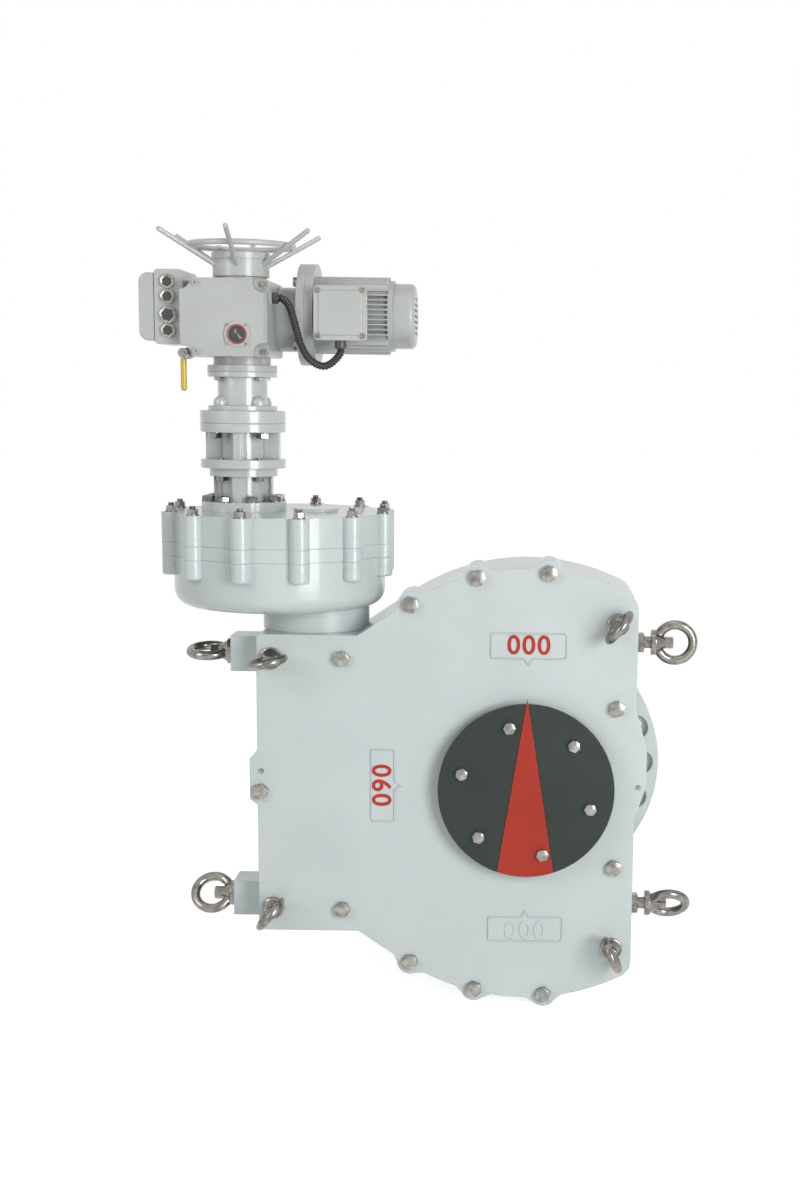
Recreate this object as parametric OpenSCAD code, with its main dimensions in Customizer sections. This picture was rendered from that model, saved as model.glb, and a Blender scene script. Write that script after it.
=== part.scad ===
// Electric valve actuator on a quarter-turn worm gearbox with a spur reducer.
// Millimetres. The origin is the centre of the valve mounting face on the output axis.
// +Y points into the valve, +X is right and +Z is up, as seen from the front.

/* [Valve flange] */
// Diameter of the mounting flange
flange_d = 700; // [690:1:740]
// Thickness of the mounting flange
flange_t = 60; // [50:1:80]
// Distance from the mounting flange's rim to its bolt circle
flange_edge = 48.5; // [44:0.5:55]
// Number of flange bolts
flange_bolts = 20; // [12:4:24]
// Diameter of the flange bolt holes
flange_hole_d = 39; // [30:1:42]
// Diameter of the spot faces for the flange nuts
spotface_d = 68; // [60:1:72]
// Depth of the spot faces
spotface_h = 24; // [10:1:30]
// Diameter of the centring spigot
spigot_d = 470; // [430:1:500]
// Height of the centring spigot
spigot_h = 5; // [3:1:8]
// Bore of the drive sleeve for the valve stem
stem_d = 220; // [160:1:240]
// Width of the keyways in the drive sleeve
key_w = 50; // [30:1:56]
// Depth of the keyways
key_h = 11; // [6:1:14]

/* [Gearbox housing] */
// Clearance between the sector wheel and the housing's round wall
sector_clear = 32.8; // [28:0.2:36]
// Distance from the output axis to the flat right side
right_x = 269; // [255:1:275]
// Distance from the worm axis to the left side
left_w = 129; // [125:1:140]
// Half height of the worm box
box_h = 375; // [365:1:390]
// Depth of the housing body, front to back
body_depth = 257; // [255:1:290]
// Thickness of the side walls
wall = 40; // [30:1:44]
// Thickness of the back wall
back_wall = 30; // [22:1:32]
// Thickness of the front cover
cover_t = 40; // [32:1:50]
// Thickness of the cover gasket
gasket_t = 1.5; // [1:0.5:3]
// Distance from the housing's arc in to the cover's rim bolts
lobe_in = 8; // [4:1:12]
// Radius of a bolt lobe
lobe_r = 33; // [29:1:36]
// Thread diameter of the cover bolts
cover_bolt_d = 24; // [20:1:24]
// Width of the lifting blocks on the left side
block_w = 75; // [66:1:82]
// Height and depth of the lifting blocks
block_h = 88; // [80:1:95]
// Outer diameter of an eye bolt's ring
eye_d = 114; // [100:1:118]
// Thickness of an eye bolt's ring
eye_t = 24; // [18:1:26]
// Thickness of the lock nuts on the right side
eye_nut_t = 25; // [18:1:28]

/* [Worm gear] */
// Module of the worm and the sector wheel
worm_m = 15.2; // [14.6:0.1:15.2]
// Pitch radius of the worm
worm_r = 80; // [76:1:82]
// Teeth that the sector wheel would have as a full wheel
sector_z = 60; // [58:2:60]
// Angle that the sector's rim covers
sector_angle = 114; // [108:1:116]
// Length of the worm's thread
worm_l = 230; // [180:1:250]
// Play on each tooth flank
worm_play = 0.9; // [0.7:0.1:1.2]
// Width of the sector's teeth
sector_w = 96; // [80:1:100]
// Wall of the sector wheel's hub
sector_hub_t = 44; // [36:1:50]
// Radius of the drive sleeve's journals
sleeve_r = 180; // [170:1:184]
// Thickness of the sleeve's bushes
bush_t = 10; // [8:1:12]

/* [Indicator] */
// Diameter of the indicator disc
disc_d = 434; // [400:1:450]
// Thickness of the indicator disc
disc_t = 12; // [8:1:14]
// Distance from the cover to the disc's front
disc_lift = 42; // [34:1:50]
// Radius of the disc's bolt circle
disc_pcr = 164; // [150:1:168]
// Width of the pointer at its base
pointer_w = 139; // [100:1:150]

/* [Spur reducer] */
// Module of the spur gears
spur_m = 5; // [4.8:0.1:5]
// Teeth of the large gear
gear_z = 60; // [59:1:60]
// Teeth of the pinion
pinion_z = 12; // [11:1:12]
// Play on each spur tooth flank
spur_play = 0.25; // [0.2:0.05:0.4]
// Clearance between the large gear and the case's wall
gear_clear = 6; // [5:0.5:9]
// Wall of the reducer case
case_wall = 11; // [8:1:12]
// Height of the neck under the case
neck_h = 59; // [54:1:70]
// Radius of that neck
neck_r = 133; // [120:1:138]
// Height of the base casting
base_h = 125; // [120:1:135]
// Radius of the rounding under the case
base_round = 40; // [34:1:50]
// Height of the middle ring
ring_h = 33; // [25:1:40]
// Height of the lid casting
lid_h = 74; // [66:1:84]
// Number of case studs
case_studs = 12; // [8:1:14]
// Distance from the case's wall out to the stud circle
stud_out = 6; // [4:1:10]
// Turn of the first stud from the X axis
stud_turn = 18; // [12:1:24]
// Radius of the bosses around the studs
boss_r = 24; // [20:1:26]
// Length of a case stud in the base casting
stud_grip = 30; // [24:1:34]
// Thread diameter of the case studs
stud_d = 16; // [12:1:18]

/* [Spacer stack] */
// Radius of the large flanges
f16_r = 105; // [100:1:112]
// Bolt circle radius of the large flanges
f16_pcr = 82.5; // [81:0.5:85]
// Thickness of the base flange
base_flange_t = 24; // [18:1:28]
// Height of the lower spacer's windows
low_window_h = 62; // [50:1:75]
// Radius of the lower spacer's wall
low_wall_r = 73.5; // [71:0.5:76]
// Thickness of the step flange
step_t = 20; // [14:1:24]
// Thickness of the upper spacer's flanges
up_flange_t = 22; // [16:1:26]
// Height of the upper spacer's windows
up_window_h = 66; // [56:1:75]
// Radius of the upper spacer's wall
up_wall_r = 92; // [88:0.5:94]
// Thickness of the adapter's lower flange
adapter_t = 31; // [24:1:36]
// Radius of the adapter's tube
tube_r = 61; // [58:1:61]
// Height of the adapter's tube
tube_h = 69; // [60:1:80]
// Radius of the small flanges
f14_r = 85; // [84:0.5:90]
// Bolt circle radius of the small flanges
f14_pcr = 70; // [70:0.5:74]

/* [Actuator] */
// Distance from the input axis to the control box's right side
control_right = 84; // [80:1:88]
// Width of the control box
control_w = 206; // [202:1:212]
// Height of the control box
control_h = 183; // [176:1:190]
// Depth of the actuator's main casting
casting_d = 205; // [200:1:220]
// Distance from the input axis to the front of the main casting
control_front = 97; // [95:1:100]
// Depth of the control cover
control_cover_d = 52; // [40:1:60]
// Wall of the castings
casting_wall = 10; // [7:1:12]
// Radius of the notch at the control box's left corners
notch_r = 27; // [24:1:30]
// Radius of the window's ring
bezel_r = 33; // [30:1:36]
// Radius of the window glass
glass_r = 20; // [17:1:21]
// Height of the terminal housing
terminal_h = 177; // [170:1:182]
// Length of the terminal housing
terminal_l = 69; // [64:1:74]
// Length of the terminal cap
cap_l = 39; // [30:1:46]
// Length of the clutch lever below its pivot
lever_l = 90; // [80:1:110]

/* [Handwheel] */
// Radius of the hub
hub_r = 69; // [66:1:72]
// Height of the hub's barrel
hub_h = 42; // [38:1:46]
// Thickness of the cap plate on the hub
hub_cap_t = 16; // [12:1:20]
// Radius of the handwheel's rim, to the middle of its rod
rim_r = 127.5; // [115:0.5:140]
// Diameter of the rim's rod
rim_d = 14; // [10:1:16]
// Diameter of the spokes
spoke_d = 12; // [9:1:13]
// Radius that the spokes reach
spoke_r = 205; // [190:1:215]
// Number of spokes
spokes = 6; // [3:1:8]
// Slope of the spokes above the level
spoke_slope = 29; // [26:1:32]

/* [Motor] */
// Module of the motor worm
drive_m = 3; // [2.8:0.1:3]
// Teeth of the motor worm wheel
drive_z = 40; // [38:1:40]
// Pitch radius of the motor worm
drive_r = 15; // [14.5:0.5:15.5]
// Radius of the motor flanges
motor_flange_r = 125; // [120:1:130]
// Thickness of each motor flange
motor_flange_t = 21; // [18:1:24]
// Radius over the cooling fins
motor_r = 95; // [92:1:98]
// Length of the finned body
motor_l = 192; // [180:1:210]
// Spacing of the cooling fins
fin_step = 12; // [10:1:16]
// Radius of the fan cowl
cowl_r = 80; // [74:1:86]
// Length of the fan cowl
cowl_l = 53; // [46:1:60]
// Width and height of the motor's terminal box
motor_box_w = 130; // [124:1:136]
// Depth of the motor's terminal box
motor_box_t = 56; // [50:1:62]
// Outer diameter of the corrugated conduit
conduit_d = 20; // [16:1:22]

/* [Hidden] */
$fn = 64;
eps = 1;
fit = 0.05;
seat = 0.1;
gap = 0.3;
pressure_angle = 20;
spur_angle = 25;

// levels along Y, from the mounting face to the front
y_back = -flange_t;
y_body = y_back - body_depth;
y_cover = y_body - gasket_t;
y_face = y_cover - cover_t;
y_mid = (y_back - back_wall + y_body) / 2;
y_disc = y_face - disc_lift;

// gear centres
wheel_r = worm_m * sector_z / 2;
worm_x = -(wheel_r + worm_r);
arc_r = wheel_r + worm_m + sector_clear + wall;
lobe_pcr = arc_r - lobe_in;
flange_pcd = flange_d - 2 * flange_edge;
left_x = worm_x - left_w;
spur_centre = spur_m * (gear_z + pinion_z) / 2;
input_x = worm_x - spur_centre;
case_x = (worm_x + input_x) / 2;
case_r = spur_centre / 2 + spur_m * (gear_z / 2 + 1) + gear_clear + case_wall;
stud_pcr = case_r + stud_out;
inner_round = base_round - case_wall;
drive_wheel_r = drive_m * drive_z / 2;

// levels along Z, from the gearbox to the handwheel
z_neck = box_h;
z_base = z_neck + neck_h;
z_ring = z_base + base_h;
z_lid = z_ring + ring_h;
z_case = z_lid + lid_h;
z_low = z_case + base_flange_t;
z_step = z_low + low_window_h;
z_up = z_step + step_t;
z_upwin = z_up + up_flange_t;
z_upflange = z_upwin + up_window_h;
z_adapter = z_upflange + up_flange_t;
z_tube = z_adapter + adapter_t + 12;
z_f14 = z_tube + tube_h;
z_actuator = z_f14 + 13;
z_casting = z_actuator + 35;
z_top = z_casting + control_h;
z_hub = z_top + 10;
z_rim = z_hub + 76;
z_drive = z_casting + 108;
z_gear = z_base + 55;
gear_w = 55;

// levels along X of the actuator
control_r = input_x + control_right;
control_l = control_r - control_w;
y_control = y_mid - control_front;
motor_y = y_mid + drive_wheel_r + drive_r;
x_motor_flange = control_r + 54;
x_motor = x_motor_flange + 2 * motor_flange_t;
x_cowl = x_motor + motor_l;
pivot_x = control_l - 10;
pivot_z = z_casting + 8;
terminal_z = z_casting + 116;
terminal_y = y_mid - 20;
plug_x = control_l - 36;
plug_heights = [59, 24, -19, -56];
window_x = input_x + 14;
window_z = z_casting + 52;
motor_box_x = x_motor + 71;
motor_box_y = motor_y - motor_r - 2 - motor_box_t;
shaft_r = 25;

// where the cover's bolts sit: three on each arc, then the inner ones and the left lug
lobe_angles = [84.7, 103.5, 122.3];
lobe_points = [for (s = [1, -1]) for (a = lobe_angles) [lobe_pcr * cos(a), s * lobe_pcr * sin(a)]];
inner_points = [[right_x - 48, 202], [right_x - 48, -202],
    [worm_x + 80, box_h - 57], [worm_x + 80, 57 - box_h]];
lug_point = [left_x + 7, -18];
bolt_points = concat(lobe_points, inner_points, [lug_point]);
dowel_points = [[right_x + 9, 3], [left_x + 9, 33]];
right_eye_h = box_h + 36;
eye_points = [[left_x + 37, box_h - 59], [left_x + 37, 59 - box_h],
    [right_x - 50, right_eye_h], [right_x - 50, -right_eye_h]];
block_z = box_h - 60;
block_y = y_mid - 42;
right_eye_z = [block_z + 36, -block_z - 13];

// corrugated conduit from the control box to the motor's terminal box
conduit_offsets = [[18, -153, 33], [26, -153, 33], [38, -157, 25], [49, -163, 6],
    [57, -167, -19], [64, -167, -45], [71, -164, -71], [81, -161, -94], [94, -157, -112],
    [110, -152, -123], [127, -147, -127], [142, -142, -121], [154, -138, -110], [163, -135, -99],
    [166, -134, -91], [166, -134, -84]];
conduit_route = [for (p = conduit_offsets) [control_r + p[0], motor_y + p[1], z_drive + p[2]]];

// involute of an angle, and half the angle that a tooth covers at radius r
function inv(a) = tan(a) - a * PI / 180;
function base_angle(r, rb) = r > rb ? acos(rb / r) : 0;
function tooth_half(r, z, m, a, play) =
    90 / z - play / (m * z / 2) * 180 / PI
    + (inv(a) - inv(base_angle(r, m * z / 2 * cos(a)))) * 180 / PI;
function polar(r, a) = [r * cos(a), r * sin(a)];
function tooth_radii(z, m) = [for (k = [-1.25, -0.9, -0.3, 0.35, 1]) m * z / 2 + k * m];
// points of one tooth around angle a0, from its lower root over the tip to its upper root
function tooth_points(z, m, a, play, a0) = let (rr = tooth_radii(z, m)) concat(
    [for (i = [0:4]) polar(rr[i], a0 - tooth_half(rr[i], z, m, a, play))],
    [for (i = [4:-1:0]) polar(rr[i], a0 + tooth_half(rr[i], z, m, a, play))]);

// profile in X and Z, extruded from y0 to y1
module slab(y0, y1) {
    translate([0, y1, 0]) rotate([90, 0, 0]) linear_extrude(y1 - y0) children();
}

// upright cylinder from z0 to z1
module post(r, x, y, z0, z1) {
    translate([x, y, z0]) cylinder(r = r, h = z1 - z0);
}

// cylinder along Y from y0 to y1
module rod_y(r, x, z, y0, y1) {
    translate([x, y1, z]) rotate([90, 0, 0]) cylinder(r = r, h = y1 - y0);
}

// cylinder along X from x0 to x1
module rod_x(r, y, z, x0, x1) {
    translate([x0, y, z]) rotate([0, 90, 0]) cylinder(r = r, h = x1 - x0);
}

module rounded_rect(x0, x1, z0, z1, r) {
    translate([x0 + r, z0]) square([x1 - x0 - 2 * r, z1 - z0]);
    translate([x0, z0 + r]) square([x1 - x0, z1 - z0 - 2 * r]);
    for (x = [x0 + r, x1 - r], z = [z0 + r, z1 - r])
        translate([x, z]) circle(r);
}

// hexagon head on z = 0 with its shank below
module hex_bolt(d, l) {
    cylinder(r = d * 0.87, h = d * 0.62, $fn = 6);
    translate([0, 0, -l]) cylinder(r = d / 2, h = l + eps);
}

// one bolt facing the front at a point of the cover
module front_bolt(p, y, d, l) {
    translate([p[0], y, p[1]]) rotate([90, 0, 0]) hex_bolt(d, l);
}

module gear_2d(z, m, a, play, turn) {
    polygon([for (i = [0:z - 1]) each tooth_points(z, m, a, play, turn + i * 360 / z)]);
}

// slanted tooth of a worm wheel with its axis along Y, pointing along +X
module wheel_tooth(z, m, r_worm, play, w) {
    pitch = m * z / 2;
    lead_angle = atan(m / (2 * r_worm));
    translate([pitch, 0, 0]) rotate([-lead_angle, 0, 0]) translate([-pitch, w / 2, 0])
        rotate([90, 0, 0]) linear_extrude(w)
            polygon(concat([[pitch - 1.6 * m, -0.7 * m]], tooth_points(z, m, pressure_angle, play, 0),
                [[pitch - 1.6 * m, 0.7 * m]]));
}

// right-hand thread along Z, its flank lines straight as on a rack
module worm_thread(r, m, l, play, n) {
    lead = PI * m;
    turns = l / lead;
    steps = ceil(turns * n);
    tip = m * PI / 4 - play - m * tan(pressure_angle);
    root = m * PI / 4 - play + 1.5 * m * tan(pressure_angle);
    ends = [[r - 1.5 * m, -root], [r + m, -tip], [r + m, tip], [r - 1.5 * m, root]];
    points = [for (i = [0:steps]) let (a = (i / steps - 0.5) * turns * 360) for (p = ends)
        [p[0] * cos(a), p[0] * sin(a), p[1] + lead * a / 360]];
    sides = [for (i = [0:steps - 1]) for (k = [0:3]) let (a = 4 * i + k, b = 4 * i + (k + 1) % 4)
        each [[a, b, a + 4], [b, b + 4, a + 4]]];
    last = 4 * steps;
    caps = [[0, 2, 1], [0, 3, 2], [last, last + 1, last + 2], [last, last + 2, last + 3]];
    polyhedron(points, concat(sides, caps));
}

// outline of the gearbox in X and Z, drawn in by inset
module gearbox_outline(inset = 0) {
    r = arc_r - inset;
    h = box_h - inset;
    a = 124;
    t = (r * sin(a) - h) / -cos(a);
    foot_x = r * cos(a) - t * sin(a);
    // the arc and the flat right side meet in a rounded corner around [cx, cz]
    corner = 45;
    cx = right_x - inset - corner;
    cz = sqrt(pow(r - corner, 2) - cx * cx);
    intersection() {
        circle(r, $fn = 128);
        polygon([[0, 0], [2 * cx, 2 * cz], [-2 * r, 2 * cz], [-2 * r, -2 * cz], [2 * cx, -2 * cz]]);
    }
    translate([0, -cz]) square([right_x - inset, 2 * cz]);
    for (s = [1, -1]) translate([cx, s * cz]) circle(corner);
    rounded_rect(left_x + inset, 0, -h, h, 12);
    polygon([[0, 0], polar(r, a), [foot_x, h], [foot_x, -h], polar(r, -a)]);
}

module rim_lobe(a) {
    rotate(a - 90) {
        translate([0, lobe_pcr]) circle(lobe_r);
        polygon([[-66, lobe_pcr - 8], [-27, lobe_pcr + 19], [27, lobe_pcr + 19], [66, lobe_pcr - 8]]);
    }
}

module side_lugs() {
    polygon([[right_x - 40, 230], [right_x, 198], [right_x + 28, 101],
        [right_x + 28, 5], [right_x, -80], [right_x - 40, -110]]);
    polygon([[left_x + 40, 100], [left_x, 81], [left_x - 19, 63],
        [left_x - 19, -38], [left_x, -54], [left_x + 40, -72]]);
}

module cover_outline() {
    gearbox_outline();
    for (s = [1, -1], a = lobe_angles) rim_lobe(s * a);
    side_lugs();
}

// Gearbox

module gearbox_housing() color("#c9d2d1") difference() {
    union() {
        difference() {
            slab(y_body, y_back) gearbox_outline();
            slab(y_body - eps, y_back - back_wall) gearbox_outline(wall);
        }
        // lobes, lugs and inner bosses that take the cover's bolts
        slab(y_body, y_body + 62) {
            for (s = [1, -1], a = lobe_angles) intersection() {
                rim_lobe(s * a);
                difference() {
                    circle(arc_r + 60);
                    circle(arc_r - 62);
                }
            }
            difference() {
                side_lugs();
                gearbox_outline(wall);
            }
        }
        for (p = inner_points) rod_y(32, p[0], p[1], y_body, y_back - eps);
        for (p = eye_points) rod_y(30, p[0], p[1], y_body, y_back - eps);
        // valve flange
        rod_y(flange_d / 2, 0, 0, y_back, 0);
        rod_y(spigot_d / 2, 0, 0, -eps, spigot_h);
        // seat of the rear bush
        rod_y(sleeve_r + bush_t + 22, 0, 0, y_back - back_wall - 14, y_back);
        // lifting blocks on the left side
        for (z = [block_z, -block_z])
            translate([left_x - block_w, block_y - block_h / 2, z - block_h / 2])
                cube([block_w + 2, block_h, block_h]);
        // bearing seats of the worm
        for (z = [box_h - 78, -box_h]) intersection() {
            post(112, worm_x, y_mid, z, z + 78);
            slab(y_body + 4, y_back) gearbox_outline();
        }
    }
    // bore of the output sleeve and its bush
    rod_y(sleeve_r + bush_t + fit, 0, 0, y_body, spigot_h + eps);
    // flange bolt holes, with spot faces for the nuts beside the flat right side
    for (i = [0:flange_bolts - 1]) let (p = polar(flange_pcd / 2, i * 360 / flange_bolts)) {
        if (p[0] > right_x - spotface_d) {
            rod_y(flange_hole_d / 2, p[0], p[1], y_back - eps, eps);
            difference() {
                rod_y(spotface_d / 2, p[0], p[1], y_back - 60, y_back + spotface_h);
                slab(y_back - 80, y_back) gearbox_outline(wall * 0.55);
            }
        } else rod_y(flange_hole_d / 2, p[0], p[1], 4 - flange_t, eps);
    }
    for (p = bolt_points) rod_y(cover_bolt_d / 2 + seat, p[0], p[1], y_body - eps, y_body + 50);
    for (p = dowel_points) rod_y(6 + seat, p[0], p[1], y_body - eps, y_body + 30);
    for (p = eye_points) rod_y(12 + seat, p[0], p[1], y_body - eps, y_body + 40);
    // worm bores, open at the top into the reducer and at the bottom to the end cover
    post(90 + seat, worm_x, y_mid, box_h - 50, box_h + eps);
    post(90 + seat, worm_x, y_mid, -box_h - eps, 50 - box_h);
    post(70, worm_x, y_mid, -box_h, box_h);
    post(worm_r + worm_m + 8, worm_x, y_mid, -worm_l / 2 - 30, worm_l / 2 + 30);
    // seat of the reducer's neck
    post(neck_r + gap, worm_x, y_mid, box_h, box_h + 60);
    for (s = [1, -1]) {
        rod_x(15 + seat, block_y, s * block_z, left_x - block_w - eps, left_x - block_w + 50);
    }
    for (z = right_eye_z) rod_x(15 + seat, block_y, z, right_x - 30, right_x + eps);
}

module cover_gasket() color("#4a4f4e") difference() {
    slab(y_cover, y_body) difference() {
        cover_outline();
        gearbox_outline(wall - 6);
    }
    for (p = bolt_points) rod_y(cover_bolt_d / 2 + 1, p[0], p[1], y_cover - eps, y_body + eps);
    for (p = dowel_points) rod_y(7, p[0], p[1], y_cover - eps, y_body + eps);
    for (p = eye_points) rod_y(13, p[0], p[1], y_cover - eps, y_body + eps);
}

// raised frame of a marker plate: x and z are its middle, turned by turn
module marker_frame(x, z, w, h, turn) {
    translate([x, y_face, z]) rotate([0, turn, 0]) difference() {
        slab(-3, eps) {
            rounded_rect(-w / 2, w / 2, -h / 2, h / 2, 8);
            polygon([[-14, -h / 2 + 2], [14, -h / 2 + 2], [0, -h / 2 - 17]]);
        }
        slab(-3 - eps, -0.5) {
            rounded_rect(3 - w / 2, w / 2 - 3, 3 - h / 2, h / 2 - 3, 6);
            polygon([[-10, -h / 2 + 4], [10, -h / 2 + 4], [0, -h / 2 - 12]]);
        }
    }
}

module front_cover() color("#ccd5d4") difference() {
    union() {
        slab(y_face, y_cover) cover_outline();
        // seat of the front bush
        rod_y(sleeve_r + bush_t + 22, 0, 0, y_cover - eps, y_cover + 22);
        marker_frame(2, arc_r - 189, 188, 65, 0);
        marker_frame(worm_x + 181, 1, 184, 61, -90);
        marker_frame(2, 180 - arc_r, 188, 65, 180);
    }
    rod_y(sleeve_r + bush_t + fit, 0, 0, y_face - eps, y_cover + 22 + eps);
    rod_y(sleeve_r + bush_t + 14, 0, 0, y_face - eps, y_face + 14);
    for (p = bolt_points) rod_y(cover_bolt_d / 2 + 1, p[0], p[1], y_face - eps, y_cover + eps);
    for (p = dowel_points) rod_y(6 + seat, p[0], p[1], y_face - eps, y_cover + eps);
    for (p = eye_points) rod_y(12 + seat, p[0], p[1], y_face - eps, y_cover + eps);
}

module cover_bolts() color("#c9cbc8")
    for (p = bolt_points) {
        front_bolt(p, y_face - 4, cover_bolt_d, cover_t + gasket_t + 46);
        difference() {
            rod_y(cover_bolt_d * 0.9, p[0], p[1], y_face - 4, y_face);
            rod_y(cover_bolt_d / 2 + seat, p[0], p[1], y_face - 5, y_face + 1);
        }
    }

module cover_dowels() color("#b9bcba")
    for (p = dowel_points) rod_y(6, p[0], p[1], y_face - 3, y_body + 28);

// eye bolt along -Y from its seat: collar, ring turned by turn, shank behind
module eye_bolt(turn, shank_r, shank_l) {
    bar = eye_t / 2;
    ring = eye_d / 2 - bar;
    translate([0, -7, 0]) rotate([90, 0, 0]) cylinder(r1 = 25, r2 = 17, h = 12);
    rod_y(25, 0, 0, -7, 0);
    rod_y(shank_r, 0, 0, -eps, shank_l);
    translate([0, -16 - ring, 0]) rotate([0, turn, 0]) rotate_extrude() translate([ring, 0]) circle(bar);
}

module front_eye_bolts() color("#5c5f5a")
    for (i = [0:3]) translate([eye_points[i][0], y_face, eye_points[i][1]])
        rotate([0, [-13, -50, 128, 65][i], 0]) scale(0.82) eye_bolt(0, 12 / 0.82, 70);

module side_eye_bolts() color("#5c5f5a") {
    for (i = [0, 1]) let (s = 1 - 2 * i) {
        translate([left_x - block_w, block_y, s * block_z]) rotate([0, 0, -90])
            eye_bolt([8, 48][i], 15, 44);
        translate([right_x + eye_nut_t + 14, block_y, right_eye_z[i]]) rotate([0, 0, 90])
            eye_bolt([90, 48][i], 15, eye_nut_t + 42);
    }
}

module eye_lock_nuts() color("#6a6d68")
    for (z = right_eye_z) translate([right_x, block_y, z]) rotate([0, 90, 0])
        difference() {
            cylinder(r = 27, h = eye_nut_t, $fn = 6);
            translate([0, 0, -eps]) cylinder(r = 15 + seat, h = eye_nut_t + 2 * eps);
        }

module worm_end_cover() color("#b4bab9") {
    post(90, worm_x, y_mid, -box_h, 10 - box_h);
    for (a = [0:60:300])
        translate([worm_x + 68 * cos(a), y_mid + 68 * sin(a), -box_h]) rotate([180, 0, 0])
            cylinder(r = 9, h = 6, $fn = 6);
}

module worm_bearings() color("#8f9496")
    for (z = [10.2 - box_h, box_h - 50 + seat]) difference() {
        post(90, worm_x, y_mid, z, z + 39);
        post(50 + fit, worm_x, y_mid, z - eps, z + 39 + eps);
    }

module worm_shaft() color("#9aa0a3") translate([worm_x, y_mid, 0]) {
    core_r = worm_r - 1.25 * worm_m;
    translate([0, 0, -worm_l / 2 - 14]) cylinder(r = core_r, h = worm_l + 28);
    worm_thread(worm_r, worm_m, worm_l, worm_play, 24);
    translate([0, 0, 11 - box_h]) cylinder(r = 50, h = 2 * box_h - 22);
    translate([0, 0, box_h - 12]) cylinder(r = 45, h = z_gear - box_h + gear_w + 12);
    translate([0, 0, z_gear + gear_w]) cylinder(r = 35, h = z_lid + 42 - z_gear - gear_w);
}

module sector_shape(r0, r1, half) {
    intersection() {
        difference() {
            circle(r1, $fn = 128);
            circle(r0, $fn = 128);
        }
        rotate(135) polygon([[0, 0], polar(2 * r1, -half), polar(2 * r1, 0), polar(2 * r1, half)]);
    }
}

module sector_wheel() color("#8d8462") {
    root_r = wheel_r - 1.25 * worm_m;
    hub_out = sleeve_r + sector_hub_t;
    half = sector_angle / 2;
    difference() {
        union() {
            rod_y(hub_out, 0, 0, y_mid - 62, y_mid + 62);
            slab(y_mid - 22, y_mid + 22) sector_shape(hub_out - 10, root_r - 10, half);
            slab(y_mid - sector_w / 2, y_mid + sector_w / 2) sector_shape(root_r - 42, root_r, half);
            // ribs from hub to rim
            for (a = [135 - half + 4, 135, 135 + half - 4]) rotate([0, -a, 0])
                translate([hub_out - 8, y_mid - 40, -9]) cube([root_r - hub_out - 20, 80, 18]);
        }
        rod_y(sleeve_r + fit, 0, 0, y_mid - 70, y_mid + 70);
        for (s = [-1, 1], k = [0, 1]) rotate([0, -(135 + s * (13 + 26 * k)), 0])
            rod_y(34, (hub_out + root_r - 42) / 2, 0, y_mid - 30, y_mid + 30);
        // keys to the sleeve
        for (z = [-1, 1]) translate([-key_w / 2, y_mid - 70, z * sleeve_r - 12])
            cube([key_w, 140, 24]);
    }
    // a gap between two teeth lies at 180 degrees, where the worm's thread is
    step = 360 / sector_z;
    teeth = floor(sector_angle / step);
    first = 180 + step / 2 - step * round((45 + step / 2 + (teeth - 1) / 2 * step) / step);
    translate([0, y_mid, 0]) for (i = [0:teeth - 1])
        rotate([0, -(first + i * step), 0])
            wheel_tooth(sector_z, worm_m, worm_r, worm_play, sector_w);
}

module drive_sleeve() color("#a7aaa6") difference() {
    union() {
        rod_y(sleeve_r, 0, 0, y_disc + disc_t, -12);
        // keys that carry the sector wheel
        for (z = [-1, 1]) translate([seat - key_w / 2, y_mid - 60, z * sleeve_r - 11.5])
            cube([key_w - 2 * seat, 120, 23]);
    }
    rod_y(stem_d / 2, 0, 0, y_disc, 0);
    for (z = [-1, 1]) translate([-key_w / 2, y_disc - eps, z * stem_d / 2 - key_h])
        cube([key_w, -y_disc, 2 * key_h]);
    for (a = [45:60:345]) let (p = polar(disc_pcr, a))
        rod_y(10 + seat, p[0], p[1], y_disc, y_disc + disc_t + 42);
}

module rear_bush() color("#a8874d") difference() {
    rod_y(sleeve_r + bush_t, 0, 0, y_back - back_wall - 14, -16);
    rod_y(sleeve_r + fit, 0, 0, y_body, eps);
}

module front_bush() color("#a8874d") difference() {
    rod_y(sleeve_r + bush_t, 0, 0, y_face + 14.5, y_cover + 22);
    rod_y(sleeve_r + fit, 0, 0, y_face, y_cover + 22 + eps);
}

module sleeve_seal() color("#26292a") difference() {
    rod_y(sleeve_r + bush_t + 14 - seat, 0, 0, y_face + 1, y_face + 14);
    rod_y(sleeve_r + fit, 0, 0, y_face, y_face + 15);
}

module indicator_disc() color("#3b4442") difference() {
    rod_y(disc_d / 2, 0, 0, y_disc, y_disc + disc_t - seat);
    for (a = [45:60:345]) let (p = polar(disc_pcr, a))
        rod_y(11, p[0], p[1], y_disc - eps, y_disc + disc_t);
}

module indicator_pointer() color("#b0392b") difference() {
    slab(y_disc - 3, y_disc - seat)
        polygon([[0, disc_d / 2 + 5], [-pointer_w / 2, 4 - disc_d / 2], [0, 1 - disc_d / 2],
            [pointer_w / 2, 4 - disc_d / 2]]);
    for (a = [45:60:345]) let (p = polar(disc_pcr, a))
        rod_y(24, p[0], p[1], y_disc - 4, y_disc);
}

module indicator_bolts() color("#c9cbc8")
    for (a = [45:60:345]) let (p = polar(disc_pcr, a)) {
        front_bolt(p, y_disc - 3, 20, disc_t + 40);
        difference() {
            rod_y(18, p[0], p[1], y_disc - 3, y_disc - seat);
            rod_y(10 + seat, p[0], p[1], y_disc - 4, y_disc);
        }
    }

// Spur reducer

module case_bosses(z0, z1, cut_r) {
    for (i = [0:case_studs - 1]) let (p = polar(stud_pcr, stud_turn + i * 360 / case_studs)) difference() {
        post(boss_r, case_x + p[0], y_mid + p[1], z0, z1);
        post(cut_r, case_x, y_mid, z0 - eps, z1 + eps);
    }
}

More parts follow.
